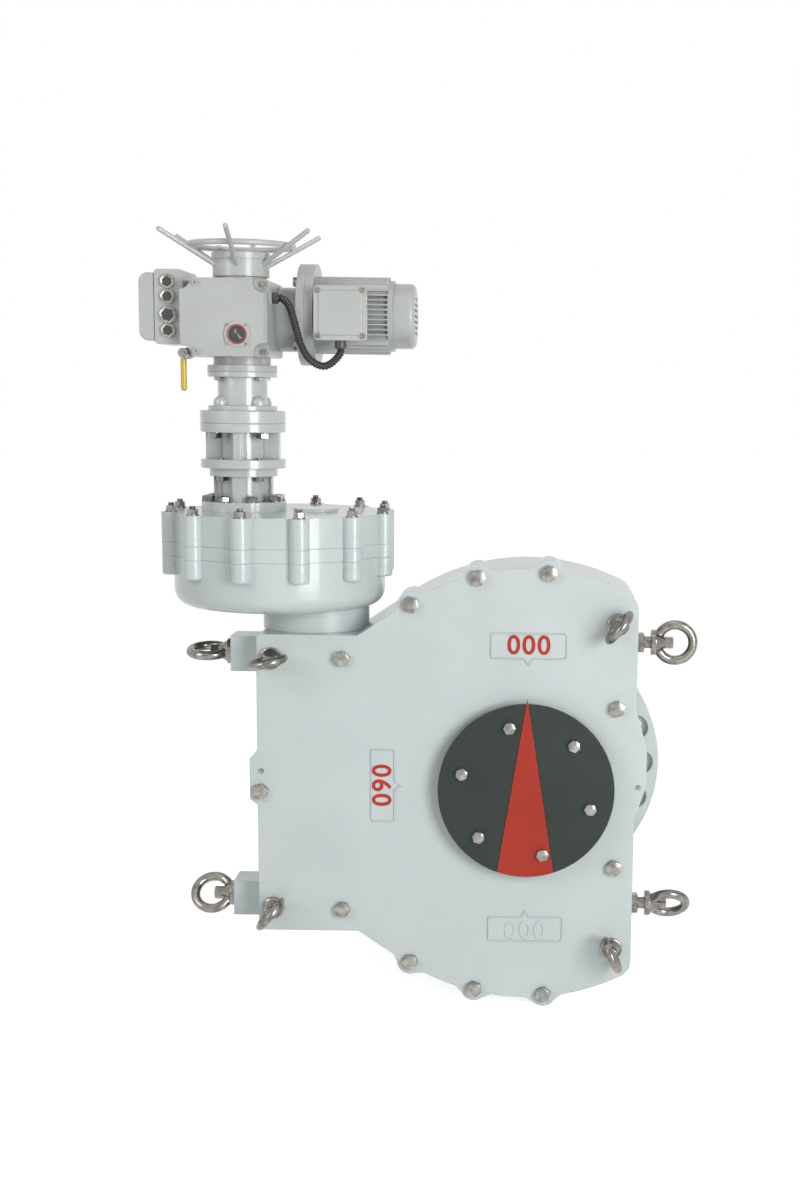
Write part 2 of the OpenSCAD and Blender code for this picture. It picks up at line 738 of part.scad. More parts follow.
module stud_holes(z0, z1) {
    for (i = [0:case_studs - 1]) let (p = polar(stud_pcr, stud_turn + i * 360 / case_studs))
        post(stud_d / 2 + seat, case_x + p[0], y_mid + p[1], z0, z1);
}

module reducer_base() color("#c5cecd") difference() {
    union() {
        translate([case_x, y_mid, z_base]) rotate_extrude() {
            translate([0, base_round]) square([case_r, base_h - base_round]);
            square([case_r - base_round, base_h]);
            translate([case_r - base_round, base_round]) circle(base_round);
        }
        case_bosses(z_base + base_h - 17, z_ring, case_r - 12);
        // rounded lower ends of the bosses
        for (i = [0:case_studs - 1]) let (p = polar(stud_pcr, stud_turn + i * 360 / case_studs))
            intersection() {
                translate([case_x + p[0], y_mid + p[1], z_base + base_h - 17]) sphere(boss_r);
                post(case_r + 2 * boss_r, case_x, y_mid, z_base, z_ring);
            }
        post(neck_r, worm_x, y_mid, z_neck, z_base + 20);
    }
    translate([case_x, y_mid, z_base + 18]) rotate_extrude() {
        translate([0, inner_round]) square([case_r - case_wall, base_h]);
        square([case_r - case_wall - inner_round, base_h]);
        translate([case_r - case_wall - inner_round, inner_round]) circle(inner_round);
    }
    post(60, worm_x, y_mid, z_neck - eps, z_base + 30);
    stud_holes(z_ring - stud_grip - 2, z_ring + eps);
    post(40 + seat, input_x, y_mid, z_base + 6, z_base + 30);
}

module reducer_ring() color("#c9d2d1") difference() {
    union() {
        post(case_r, case_x, y_mid, z_ring, z_lid);
        case_bosses(z_ring, z_lid, case_r - 12);
    }
    post(case_r - case_wall, case_x, y_mid, z_ring - eps, z_lid + eps);
    stud_holes(z_ring - eps, z_lid + eps);
}

module reducer_lid() color("#c9d2d1") difference() {
    union() {
        post(case_r, case_x, y_mid, z_lid, z_case);
        case_bosses(z_lid, z_case, case_r - 12);
        post(56, worm_x, y_mid, z_lid + 20, z_case + 8);
    }
    difference() {
        post(case_r - case_wall, case_x, y_mid, z_lid - eps, z_case - 22);
        post(72, worm_x, y_mid, z_lid + 10, z_case);
        post(64, input_x, y_mid, z_lid + 10, z_case);
    }
    post(55 + seat, worm_x, y_mid, z_lid - eps, z_lid + 42);
    post(48 + seat, input_x, y_mid, z_lid - eps, z_lid + 42);
    post(shaft_r + 4, input_x, y_mid, z_lid, z_case + eps);
    stud_holes(z_lid - eps, z_case + eps);
    for (i = [0:7]) let (p = polar(f16_r - 16, 22.5 + i * 45))
        post(8 + seat, input_x + p[0], y_mid + p[1], z_case - 20, z_case + eps);
}

module case_studs_and_nuts() color("#b9bcba")
    for (i = [0:case_studs - 1]) let (p = polar(stud_pcr, stud_turn + i * 360 / case_studs))
        translate([case_x + p[0], y_mid + p[1], 0]) {
            translate([0, 0, z_ring - stud_grip]) cylinder(r = stud_d / 2, h = z_case + 24 - z_ring + stud_grip);
            translate([0, 0, z_case]) cylinder(r = stud_d * 0.95, h = 3);
            translate([0, 0, z_case + 3]) cylinder(r = stud_d * 0.87, h = 14, $fn = 6);
        }

module spur_gear() color("#8d9396") translate([worm_x, y_mid, z_gear]) difference() {
    union() {
        linear_extrude(gear_w) difference() {
            gear_2d(gear_z, spur_m, spur_angle, spur_play, 0);
            circle(spur_m * gear_z / 2 - 22);
        }
        translate([0, 0, gear_w / 2 - 9]) cylinder(r = spur_m * gear_z / 2 - 20, h = 18);
        cylinder(r = 72, h = gear_w);
    }
    translate([0, 0, -eps]) cylinder(r = 45 + fit, h = gear_w + 2 * eps);
    for (a = [0:60:300]) rotate(a) translate([100, 0, 0]) cylinder(r = 20, h = gear_w);
}

module spur_bearings() color("#8f9496") {
    difference() {
        post(55, worm_x, y_mid, z_lid + 6, z_lid + 41);
        post(35 + fit, worm_x, y_mid, z_lid, z_lid + 42);
    }
    difference() {
        post(48, input_x, y_mid, z_lid + 14, z_lid + 41);
        post(shaft_r + fit, input_x, y_mid, z_lid, z_lid + 42);
    }
    difference() {
        post(40, input_x, y_mid, z_base + 7, z_base + 29);
        post(18 + fit, input_x, y_mid, z_base, z_base + 30);
    }
}

module pinion_shaft() color("#9aa0a3") translate([input_x, y_mid, 0]) {
    translate([0, 0, z_gear - 2]) linear_extrude(gear_w + 4)
        gear_2d(pinion_z, spur_m, spur_angle, spur_play, 180 / pinion_z);
    translate([0, 0, z_base + 8]) cylinder(r = 18, h = z_gear - z_base);
    translate([0, 0, z_gear + gear_w]) cylinder(r = shaft_r, h = z_up + 10 - z_gear - gear_w);
}

// Spacer stack between reducer and actuator

// round wall with four windows between upright ribs
module window_wall(r, t, z0, h) {
    difference() {
        post(r, input_x, y_mid, z0 - eps, z0 + h + eps);
        post(r - t, input_x, y_mid, z0 - 2 * eps, z0 + h + 2 * eps);
        for (a = [45:90:315]) translate([input_x, y_mid, z0]) rotate([0, 0, a])
            translate([0, -r * 0.52, 0]) cube([r + 5, r * 1.04, h]);
    }
}

module ring_post(r, hole, z0, z1) {
    difference() {
        post(r, input_x, y_mid, z0, z1);
        post(hole, input_x, y_mid, z0 - eps, z1 + eps);
    }
}

module flange_ring_holes(n, pcr, turn, r, z0, z1) {
    for (i = [0:n - 1]) let (p = polar(pcr, turn + i * 360 / n))
        post(r, input_x + p[0], y_mid + p[1], z0, z1);
}

module lower_spacer() color("#c4cac7") difference() {
    union() {
        ring_post(f16_r, 50, z_case, z_low);
        window_wall(low_wall_r, 13, z_low, low_window_h);
        ring_post(84, 50, z_step, z_up);
    }
    flange_ring_holes(8, f16_r - 16, 22.5, 9, z_case - eps, z_low + eps);
    flange_ring_holes(4, 66, 45, 7 + seat, z_step - eps, z_up + eps);
}

module base_flange_bolts() color("#c9cbc8")
    for (i = [0:7]) let (p = polar(f16_r - 16, 22.5 + i * 45))
        translate([input_x + p[0], y_mid + p[1], z_low]) hex_bolt(16, base_flange_t + 18);

module upper_spacer() color("#c4cac7") difference() {
    union() {
        ring_post(f16_r, 50, z_up, z_upwin);
        window_wall(up_wall_r, 14, z_upwin, up_window_h);
        ring_post(f16_r, 50, z_upflange, z_adapter);
    }
    flange_ring_holes(4, 66, 45, 7 + seat, z_up - eps, z_upwin + eps);
    flange_ring_holes(4, f16_pcr, 45, 10 + seat, z_upflange - eps, z_adapter + eps);
}

module spacer_bolts() color("#b9bcba")
    for (a = [45:90:315]) let (p = polar(66, a))
        translate([input_x + p[0], y_mid + p[1], z_upwin]) hex_bolt(14, step_t + up_flange_t + 12);

module adapter() color("#c4cac7") difference() {
    union() {
        ring_post(f16_r, 46, z_adapter, z_adapter + adapter_t);
        ring_post(85, 46, z_adapter + adapter_t - eps, z_tube);
        ring_post(tube_r, 46, z_tube - eps, z_f14 + eps);
        ring_post(f14_r, 46, z_f14, z_actuator);
        for (a = [0:90:270]) let (p = polar(tube_r + 2, a)) difference() {
            post(13, input_x + p[0], y_mid + p[1], z_tube - eps, z_tube + 22);
            post(50, input_x, y_mid, z_tube - 2, z_tube + 23);
        }
    }
    flange_ring_holes(4, f16_pcr, 45, 10 + seat, z_adapter - eps, z_adapter + adapter_t - 4);
    flange_ring_holes(4, f14_pcr, 45, 8 + seat, z_f14 - 12, z_actuator + eps);
}

module adapter_bolts() color("#b9bcba")
    for (a = [45:90:315]) let (p = polar(f16_pcr, a))
        translate([input_x + p[0], y_mid + p[1], z_upflange]) rotate([180, 0, 0])
            hex_bolt(20, up_flange_t + adapter_t - 8);

module flange_studs() color("#b9bcba")
    for (a = [45:90:315]) let (p = polar(f14_pcr, a))
        post(8, input_x + p[0], y_mid + p[1], z_f14 - 10, z_actuator + 14);

module coupling_sleeve() color("#8f9496") difference() {
    post(40, input_x, y_mid, z_up - 12, z_up + 70);
    post(shaft_r + fit, input_x, y_mid, z_up - 13, z_up + 71);
}

// Actuator

// front outline of the control box: square at the right, notched at the left corners
module control_outline() {
    difference() {
        rounded_rect(control_l, control_r, z_casting, z_top, 7);
        for (z = [z_casting, z_top]) translate([control_l, z]) circle(notch_r);
    }
}

module actuator_housing() color("#c0c4c0") difference() {
    union() {
        difference() {
            slab(y_control, y_control + casting_d) rounded_rect(control_l, control_r, z_casting, z_top, 7);
            for (z = [z_casting, z_top]) rod_y(notch_r, control_l, z, y_control - eps, y_control + 70);
        }
        // mounting flange, neck and top boss
        post(f14_r, input_x, y_mid, z_actuator, z_actuator + 16);
        post(70, input_x, y_mid, z_actuator + 15, z_casting + 5);
        post(62, input_x, y_mid, z_top - 5, z_hub);
        // lug and pin that carry the clutch lever
        rod_y(14, pivot_x, pivot_z, y_control + 74, y_control + 104);
        rod_y(6, pivot_x, pivot_z, y_control + 20, y_control + 76);
        // boss of the conduit gland
        rod_x(17, conduit_route[0][1], conduit_route[0][2], control_r - 5, control_r + 4);
    }
    // gear chamber
    difference() {
        translate([control_l + casting_wall, y_control - eps, z_casting + casting_wall])
            cube([control_w - 2 * casting_wall, casting_d - casting_wall, control_h - 2 * casting_wall]);
        for (z = [z_casting, z_top])
            rod_y(notch_r + casting_wall, control_l, z, y_control - 2, y_control + 80);
        post(48, input_x, y_mid, z_casting, z_casting + 30);
        post(48, input_x, y_mid, z_top - 30, z_top);
    }
    post(shaft_r + fit, input_x, y_mid, z_casting - 60, z_hub + eps);
    post(46, input_x, y_mid, z_actuator - eps, z_casting + 4);
    flange_ring_holes(4, f14_pcr, 45, 8 + seat, z_actuator - eps, z_actuator + 15);
    // opening of the motor worm and its bearing
    rod_x(34 + seat, motor_y, z_drive, control_r - casting_wall - eps, control_r + eps);
    // passage into the terminal housing
    rod_x(50, terminal_y, terminal_z - 20, control_l - eps, control_l + casting_wall + eps);
    rod_x(8, conduit_route[0][1], conduit_route[0][2], control_r - casting_wall - eps, control_r + 6);
    post(drive_wheel_r + drive_m + 3, input_x, y_mid, z_drive - 18, z_drive + 18);
    for (x = [control_l + 38, control_r - 12], z = [z_casting + 12, z_top - 12])
        rod_y(4 + seat, x, z, y_control - eps, y_control + 14);
}

module drive_shaft() color("#9aa0a3") {
    post(shaft_r, input_x, y_mid, z_up + 10.5, z_hub + hub_h - seat);
    post(38, input_x, y_mid, z_drive + 17, z_drive + 36);
}

module worm_wheel() color("#a8874d") translate([input_x, y_mid, z_drive]) rotate([90, 0, -90]) difference() {
    union() {
        rod_y(drive_wheel_r - 1.25 * drive_m, 0, 0, -14, 14);
        for (i = [0:drive_z - 1]) rotate([0, -(180 + (i + 0.5) * 360 / drive_z), 0])
            wheel_tooth(drive_z, drive_m, drive_r, 0.25, 20);
    }
    rod_y(shaft_r + fit, 0, 0, -16, 16);
}

module control_cover() color("#c0c4c0") difference() {
    union() {
        slab(y_control - control_cover_d + 8, y_control) control_outline();
        slab(y_control - control_cover_d, y_control) intersection() {
            control_outline();
            translate([-8, 0]) control_outline();
        }
    }
    // hollow inside, but for the pedestal that carries the dial's shaft
    difference() {
        translate([control_l + casting_wall, y_control - control_cover_d + casting_wall,
            z_casting + notch_r + 4])
            cube([control_w - 2 * casting_wall - 14, control_cover_d, control_h - 2 * notch_r - 8]);
        translate([window_x - 13, y_control - 32, z_casting]) cube([26, 14, window_z + 12 - z_casting]);
    }
    rod_y(glass_r + seat, window_x, window_z, y_control - 70, y_control - 34);
    rod_y(4 + fit, window_x, window_z, y_control - 70, y_control);
    for (z = [z_casting + 12, z_top - 12]) {
        rod_y(11, control_r - 12, z, y_control - 60, y_control - 14);
        for (x = [control_l + 38, control_r - 12]) rod_y(4.5, x, z, y_control - 60, y_control + eps);
    }
}

module control_cover_screws() color("#8f9496")
    for (z = [z_casting + 12, z_top - 12]) {
        translate([control_r - 12, y_control - 14, z]) rotate([90, 0, 0]) cylinder(r = 7, h = 8);
        rod_y(4, control_r - 12, z, y_control - 15, y_control + 12);
        translate([control_l + 38, y_control - control_cover_d, z]) rotate([90, 0, 0]) cylinder(r = 7, h = 8);
        rod_y(4, control_l + 38, z, y_control - control_cover_d - 1, y_control + 12);
    }

module window_bezel() color("#c98c88") difference() {
    slab(y_control - control_cover_d - 5, y_control - control_cover_d) {
        translate([window_x, window_z]) circle(bezel_r - 3);
        for (a = [45:90:315]) translate([window_x, window_z] + polar(bezel_r - 5, a)) circle(6);
    }
    rod_y(glass_r, window_x, window_z, y_control - 60, y_control);
}

module window_glass() color([0.7, 0.75, 0.75, 0.4])
    rod_y(glass_r - gap, window_x, window_z, y_control - control_cover_d - 2, y_control - control_cover_d + 3);

module position_dial() color("#2c2e2e") {
    rod_y(glass_r - 2, window_x, window_z, y_control - control_cover_d + 7, y_control - control_cover_d + 9);
    rod_y(4, window_x, window_z, y_control - control_cover_d + 8, y_control - 16);
}

module terminal_housing() color("#b9bdb9") difference() {
    slab(terminal_y - 84, terminal_y + 84)
        rounded_rect(control_l - terminal_l, control_l, terminal_z - terminal_h / 2,
            terminal_z + terminal_h / 2, 9);
    slab(terminal_y - 72, terminal_y + 72)
        rounded_rect(control_l - terminal_l - 20, control_l - 12, terminal_z - terminal_h / 2 + 14,
            terminal_z + terminal_h / 2 - 14, 5);
    rod_x(50, terminal_y, terminal_z - 20, control_l - 13, control_l + eps);
    for (z = plug_heights) rod_y(11 + seat, plug_x, terminal_z + z, terminal_y - 85, terminal_y - 71);
}

module terminal_cap() color("#c0c4c0") translate([0, terminal_y, 0]) difference() {
    union() {
        slab(-80, 80) intersection() {
            rounded_rect(control_l - terminal_l - cap_l, control_l, terminal_z - terminal_h / 2 + 8,
                terminal_z + terminal_h / 2 - 8, 22);
            translate([control_l - terminal_l - cap_l, z_casting - 50]) square([cap_l, control_h + 200]);
        }
    }
    slab(-70, 70)
        rounded_rect(control_l - terminal_l - cap_l + 8, control_l - terminal_l + 12,
            terminal_z - terminal_h / 2 + 18, terminal_z + terminal_h / 2 - 18, 12);
}

module cable_plugs() color("#2f3233")
    for (k = [0:3]) translate([plug_x, terminal_y - 84, terminal_z + plug_heights[k]])
        rotate([90, 0, 0]) {
            translate([0, 0, -14]) cylinder(r = 11, h = 15);
            cylinder(r = k == 2 ? 20 : 16, h = 5);
            translate([0, 0, 5]) cylinder(r = k == 2 ? 18 : 14, h = 12, $fn = 6);
        }

module lever_rod() color("#9a9d9a") {
    difference() {
        rod_y(12, pivot_x, pivot_z, y_control + 24, y_control + 44);
        rod_y(6 + fit, pivot_x, pivot_z, y_control, y_control + 90);
    }
    post(5, pivot_x, y_control + 34, pivot_z - lever_l + 8, pivot_z - 10);
}

module lever_grip() color("#d8b431") difference() {
    union() {
        post(7.5, pivot_x, y_control + 34, pivot_z - lever_l + 6, pivot_z - 13);
        translate([pivot_x, y_control + 34, pivot_z - lever_l + 6]) sphere(7.5);
    }
    post(5 + fit, pivot_x, y_control + 34, pivot_z - lever_l + 8 - fit, pivot_z);
}

module handwheel() color("#b9bdb9") translate([input_x, y_mid, z_hub]) difference() {
    rim_z = z_rim - z_hub;
    // the spokes leave the hub's side and slope up under the rim
    under = ((rim_d + spoke_d) / 2 - 1) / cos(spoke_slope);
    inner = (rim_r - hub_r + 8) / cos(spoke_slope);
    outer = (spoke_r - rim_r) / cos(spoke_slope);
    union() {
        translate([0, 0, gap]) cylinder(r = hub_r, h = hub_h);
        cylinder(r = 40, h = 24);
        translate([0, 0, hub_h]) cylinder(r = hub_r + 2, h = hub_cap_t);
        translate([0, 0, rim_z]) rotate_extrude() translate([rim_r, 0]) circle(rim_d / 2);
        for (i = [0:spokes - 1]) rotate([0, 0, 30 + i * 360 / spokes])
            translate([rim_r, 0, rim_z - under]) rotate([0, 90 - spoke_slope, 0]) {
                translate([0, 0, -inner]) cylinder(r = spoke_d / 2, h = inner + outer);
                translate([0, 0, outer]) sphere(spoke_d / 2);
            }
    }
    translate([0, 0, -eps]) cylinder(r = shaft_r + fit, h = hub_h + eps);
}

module handwheel_knob() color("#a5a8a5")
    translate([input_x - 46, y_mid - 40, z_hub + hub_h + hub_cap_t + seat]) {
        cylinder(r = 5, h = 7);
        translate([0, 0, 6]) intersection() {
            translate([0, 0, -8]) sphere(17);
            cylinder(r = 15, h = 12);
        }
    }

// Motor

module motor_adapter() color("#b9bdb9") difference() {
    union() {
        rod_x(79, motor_y, z_drive - 12, control_r, x_motor_flange + eps);
        rod_x(motor_flange_r, motor_y, z_drive, x_motor_flange, x_motor_flange + motor_flange_t);
    }
    rod_x(34 + seat, motor_y, z_drive, control_r - eps, x_motor_flange + motor_flange_t + eps);
    motor_bolt_holes(7 + seat, x_motor_flange - eps, x_motor_flange + motor_flange_t + eps);
}

module motor_bolt_holes(r, x0, x1) {
    for (a = [45:90:315]) let (p = polar(motor_flange_r - 17, a))
        rod_x(r, motor_y + p[0], z_drive + p[1], x0, x1);
}

// section of the finned body in Y and Z
module fin_section() {
    circle(motor_r - 18);
    difference() {
        for (s = [0, 1], k = [-5:5]) rotate(90 * s)
            translate([-motor_r, k * fin_step - 2]) square([2 * motor_r, 4]);
        difference() {
            circle(2 * motor_r);
            circle(motor_r);
        }
    }
}

module motor_body() color("#b4b8b5") difference() {
    union() {
        rod_x(motor_flange_r, motor_y, z_drive, x_motor - motor_flange_t, x_motor);
        translate([x_motor - eps, motor_y, z_drive]) rotate([90, 0, 90]) linear_extrude(motor_l - 12) fin_section();
        rod_x(motor_r - 8, motor_y, z_drive, x_cowl - 14, x_cowl);
        // pad of the terminal box
        translate([motor_box_x - 50, motor_y - motor_r - 2, z_drive - 50]) cube([100, 30, 100]);
    }
    rod_x(51, motor_y, z_drive, x_motor - 4, x_cowl - 20);
    rod_x(20 + seat, motor_y, z_drive, x_motor - motor_flange_t - eps, x_cowl + eps);
    motor_bolt_holes(7 + seat, x_motor - motor_flange_t - eps, x_motor + eps);
}

module motor_bolts() color("#8f9496")
    for (a = [45:90:315]) let (p = polar(motor_flange_r - 17, a))
        translate([x_motor_flange, motor_y + p[0], z_drive + p[1]]) rotate([0, -90, 0])
            hex_bolt(14, 2 * motor_flange_t - 4);

module motor_rotor() color("#8f9496") translate([0, motor_y, z_drive]) {
    worm_start = input_x - 40;
    // worm on the shaft's end, in mesh with the wheel
    translate([input_x, 0, 0]) rotate([90, 0, -90]) worm_thread(drive_r, drive_m, 60, 0.25, 16);
    rod_x(drive_r - 1.25 * drive_m, 0, 0, worm_start, control_r + 10);
    rod_x(20, 0, 0, control_r + 4, x_cowl + 8);
    rod_x(50, 0, 0, x_motor + 12, x_cowl - 40);
    // cooling fan
    rod_x(26, 0, 0, x_cowl + 6, x_cowl + 34);
    for (a = [0:45:315]) rotate([a, 0, 0]) translate([x_cowl + 8, -1.5, 24]) cube([24, 3, 42]);
}

module motor_terminal_box() color("#c0c4c0") difference() {
    union() {
        slab(motor_box_y + 12, motor_y - motor_r - 2)
            rounded_rect(motor_box_x - motor_box_w / 2 + 4, motor_box_x + motor_box_w / 2 - 4,
                z_drive - motor_box_w / 2 + 4, z_drive + motor_box_w / 2 - 4, 10);
        slab(motor_box_y, motor_box_y + 12)
            rounded_rect(motor_box_x - motor_box_w / 2, motor_box_x + motor_box_w / 2,
                z_drive - motor_box_w / 2, z_drive + motor_box_w / 2, 10);
    }
    // shallow panel with cut corners on the lid
    slab(motor_box_y - eps, motor_box_y + 2)
        polygon([for (a = [22.5:45:337.5]) [motor_box_x, z_drive] + polar(56, a)]);
    for (x = [-1, 1], z = [-1, 1])
        rod_y(4 + seat, motor_box_x + x * (motor_box_w / 2 - 11), z_drive + z * (motor_box_w / 2 - 11),
            motor_box_y - eps, motor_box_y + 20);
}

module motor_box_screws() color("#8f9496")
    for (x = [-1, 1], z = [-1, 1])
        translate([motor_box_x + x * (motor_box_w / 2 - 11), motor_box_y, z_drive + z * (motor_box_w / 2 - 11)])
            rotate([90, 0, 0]) {
                cylinder(r = 7, h = 5);
                translate([0, 0, -18]) cylinder(r = 4, h = 19);
            }

module fan_cowl() color("#b4b8b5") translate([x_cowl, motor_y, z_drive]) rotate([0, 90, 0]) difference() {
    rotate_extrude() {
        square([cowl_r, cowl_l - 14]);
        square([cowl_r - 14, cowl_l]);
        translate([cowl_r - 14, cowl_l - 14]) circle(14);
    }
    translate([0, 0, -eps]) cylinder(r = cowl_r - 4, h = cowl_l - 10);
    // air slots in the end
    for (k = [-3:3]) translate([k * 14 - 3, -sqrt(3500 - pow(k * 14, 2)), cowl_l - 20])
        cube([6, 2 * sqrt(3500 - pow(k * 14, 2)), 30]);
}

function unit(v) = v / norm(v);
// direction of the route at point i, and a ring of points square to it
function heading(i) = unit(conduit_route[min(i + 1, len(conduit_route) - 1)] - conduit_route[max(i - 1, 0)]);
function tube_ring(i, sides) = let (t = heading(i), u = unit(cross(t, [0, 1, 0])), v = cross(t, u))
    [for (k = [0:sides - 1]) let (a = k * 360 / sides)
        conduit_route[i] + conduit_d / 2 * (cos(a) * u + sin(a) * v)];

module conduit() color("#1f2122") {
    sides = 12;
    count = len(conduit_route);
    points = [for (i = [0:count - 1]) each tube_ring(i, sides)];
    skin = [for (i = [0:count - 2]) for (k = [0:sides - 1]) let (a = i * sides + k, b = i * sides + (k + 1) % sides)
        each [[a, b, a + sides], [b, b + sides, a + sides]]];
    ends = [[for (k = [sides - 1:-1:0]) k], [for (k = [0:sides - 1]) (count - 1) * sides + k]];
    polyhedron(points, concat(skin, ends));
}

module conduit_glands() color("#2a2c2d") {
    start = conduit_route[0];
    finish = conduit_route[len(conduit_route) - 1];
    rod_x(14, start[1], start[2], control_r + 4 + seat, start[0] - seat);
    rod_x(8 - seat, start[1], start[2], control_r - 6, control_r + 5);
    post(14, finish[0], finish[1], finish[2] + seat, z_drive - motor_box_w / 2 - seat);
}

gearbox_housing();
cover_gasket();
front_cover();
cover_bolts();
cover_dowels();
front_eye_bolts();
side_eye_bolts();
eye_lock_nuts();
worm_end_cover();
worm_bearings();
worm_shaft();
sector_wheel();
drive_sleeve();
rear_bush();
front_bush();
sleeve_seal();
indicator_disc();
indicator_pointer();
indicator_bolts();
reducer_base();
reducer_ring();
reducer_lid();
case_studs_and_nuts();
spur_gear();
spur_bearings();
pinion_shaft();
lower_spacer();
base_flange_bolts();
upper_spacer();
spacer_bolts();
adapter();
adapter_bolts();
flange_studs();
coupling_sleeve();
actuator_housing();
drive_shaft();
worm_wheel();
control_cover();
control_cover_screws();
window_bezel();
window_glass();
position_dial();
terminal_housing();
terminal_cap();
cable_plugs();
lever_rod();
lever_grip();
handwheel();
handwheel_knob();
motor_adapter();
motor_body();
motor_bolts();
motor_rotor();
motor_terminal_box();
motor_box_screws();
fan_cowl();
conduit();
conduit_glands();
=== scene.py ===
"""Looks of the electric valve actuator on its quarter-turn worm gearbox."""
import math

import bmesh
import bpy
from mathutils import Matrix, Vector


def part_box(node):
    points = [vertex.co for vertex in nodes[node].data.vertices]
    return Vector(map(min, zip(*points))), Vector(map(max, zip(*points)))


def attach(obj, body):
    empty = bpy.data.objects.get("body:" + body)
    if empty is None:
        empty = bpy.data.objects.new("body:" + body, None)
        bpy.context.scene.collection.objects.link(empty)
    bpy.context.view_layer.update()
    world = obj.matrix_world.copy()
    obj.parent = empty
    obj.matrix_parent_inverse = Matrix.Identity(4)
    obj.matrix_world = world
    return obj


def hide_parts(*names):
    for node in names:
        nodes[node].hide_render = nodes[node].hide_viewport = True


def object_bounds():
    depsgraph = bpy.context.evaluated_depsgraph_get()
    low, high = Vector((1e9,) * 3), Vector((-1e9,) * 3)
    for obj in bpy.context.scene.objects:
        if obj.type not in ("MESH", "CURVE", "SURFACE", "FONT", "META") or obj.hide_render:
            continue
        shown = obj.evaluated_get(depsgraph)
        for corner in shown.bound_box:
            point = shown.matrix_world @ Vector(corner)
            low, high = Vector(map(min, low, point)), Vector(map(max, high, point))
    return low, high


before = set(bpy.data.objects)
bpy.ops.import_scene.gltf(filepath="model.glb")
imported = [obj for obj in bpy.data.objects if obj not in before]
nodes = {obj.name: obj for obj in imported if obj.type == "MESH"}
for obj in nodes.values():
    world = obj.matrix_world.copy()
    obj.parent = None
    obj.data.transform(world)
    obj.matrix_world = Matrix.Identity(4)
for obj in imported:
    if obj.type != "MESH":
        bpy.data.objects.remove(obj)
cad_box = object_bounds()
bpy.ops.object.select_all(action="DESELECT")


# ---------------------------------------------------------------- the studio
# A white room: pale floor just under the gearbox, soft boxes left, right and above.
# The camera stands level with the flange under the actuator and looks slightly down.
scene = bpy.context.scene
scene.view_settings.view_transform = "Standard"

camera = bpy.data.objects.new("camera", bpy.data.cameras.new("camera"))
scene.collection.objects.link(camera)
camera.location = (-0.00599, -4.32503, 0.97378)
camera.rotation_euler = [math.radians(a) for a in (81.0717, -0.8180, -0.1207)]
camera.data.sensor_fit = "VERTICAL"
camera.data.sensor_height = 36
camera.data.lens = 49.278
camera.data.shift_x = -0.1106
camera.data.shift_y = 0.0398
scene.camera = camera


def linear(text):
    """An sRGB hex colour in the linear values that Blender takes."""
    parts = [int(text[i:i + 2], 16) / 255 for i in (1, 3, 5)]
    return tuple(c / 12.92 if c <= 0.04045 else ((c + 0.055) / 1.055) ** 2.4 for c in parts) + (1,)


def add(tree, kind, settings=None, inputs=None):
    """Adds a node. An input is a value, or the output of another node that feeds it."""
    node = tree.nodes.new("ShaderNode" + kind)
    for key, value in (settings or {}).items():
        setattr(node, key, value)
    for key, value in (inputs or {}).items():
        if isinstance(value, bpy.types.NodeSocket):
            tree.links.new(value, node.inputs[key])
        else:
            node.inputs[key].default_value = value
    return node


def seen_directly(tree):
    """1 where the camera, a mirror or a pane of glass looks at it, 0 where it only lights things."""
    path = add(tree, "LightPath")
    either = add(tree, "Math", {"operation": "MAXIMUM"},
                 {0: path.outputs["Is Camera Ray"], 1: path.outputs["Is Glossy Ray"]})
    return add(tree, "Math", {"operation": "MAXIMUM"},
               {0: either.outputs[0], 1: path.outputs["Is Transmission Ray"]}).outputs[0]


world = bpy.data.worlds.new("white room")
scene.world = world
world.use_nodes = True
sky = world.node_tree
sky.nodes.clear()
room_light = add(sky, "Background", None, {"Color": linear("#F0F1F2"), "Strength": 0.35})
room_white = add(sky, "Background", None, {"Color": (1, 1, 1, 1), "Strength": 1.0})
room = add(sky, "MixShader", None, {"Fac": seen_directly(sky), 1: room_light.outputs[0],
                                    2: room_white.outputs[0]})
add(sky, "OutputWorld", None, {"Surface": room.outputs[0]})

bpy.ops.mesh.primitive_plane_add(size=60, location=(0, 0, cad_box[0][2] - 0.002))
floor = bpy.context.object
floor.name = "floor"
floor_paper = bpy.data.materials.new("white studio paper")
floor_paper.use_nodes = True
paper = floor_paper.node_tree
paper.nodes.clear()
paper_lit = add(paper, "BsdfDiffuse", None, {"Color": linear("#E0E0E0")})
paper_white = add(paper, "Emission", None, {"Color": (1, 1, 1, 1), "Strength": 1.0})
# the glow lifts the lit paper to plain white for the eye, and a shadow still shows on it
PAPER_GLOW = 0.775
paper_share = add(paper, "Math", {"operation": "MULTIPLY"}, {0: seen_directly(paper), 1: PAPER_GLOW})
paper_glow = add(paper, "MixShader", None, {"Fac": paper_share.outputs[0], 2: paper_white.outputs[0]})
paper_mix = add(paper, "AddShader", None, {0: paper_glow.outputs[0], 1: paper_lit.outputs[0]})
add(paper, "OutputMaterial", None, {"Surface": paper_mix.outputs[0]})
floor.data.materials.append(floor_paper)


def soft_box(name, place, target, size, power):
    lamp = bpy.data.lights.new(name, "AREA")
    lamp.shape = "RECTANGLE"
    lamp.size, lamp.size_y = size
    lamp.energy = power
    stand = bpy.data.objects.new(name, lamp)
    scene.collection.objects.link(stand)
    stand.location = place
    stand.rotation_euler = (Vector(target) - Vector(place)).to_track_quat("-Z", "Y").to_euler()


soft_box("soft box left", (-3.6, -3.2, 2.2), (-0.3, -0.2, 0.4), (1.6, 2.6), 46)
soft_box("soft box right", (2.6, -4.2, 1.1), (0, -0.2, 0.3), (2.0, 2.6), 152)
soft_box("soft box above", (-0.3, -1.6, 4.2), (-0.3, -0.2, 0.2), (2.6, 1.6), 10)


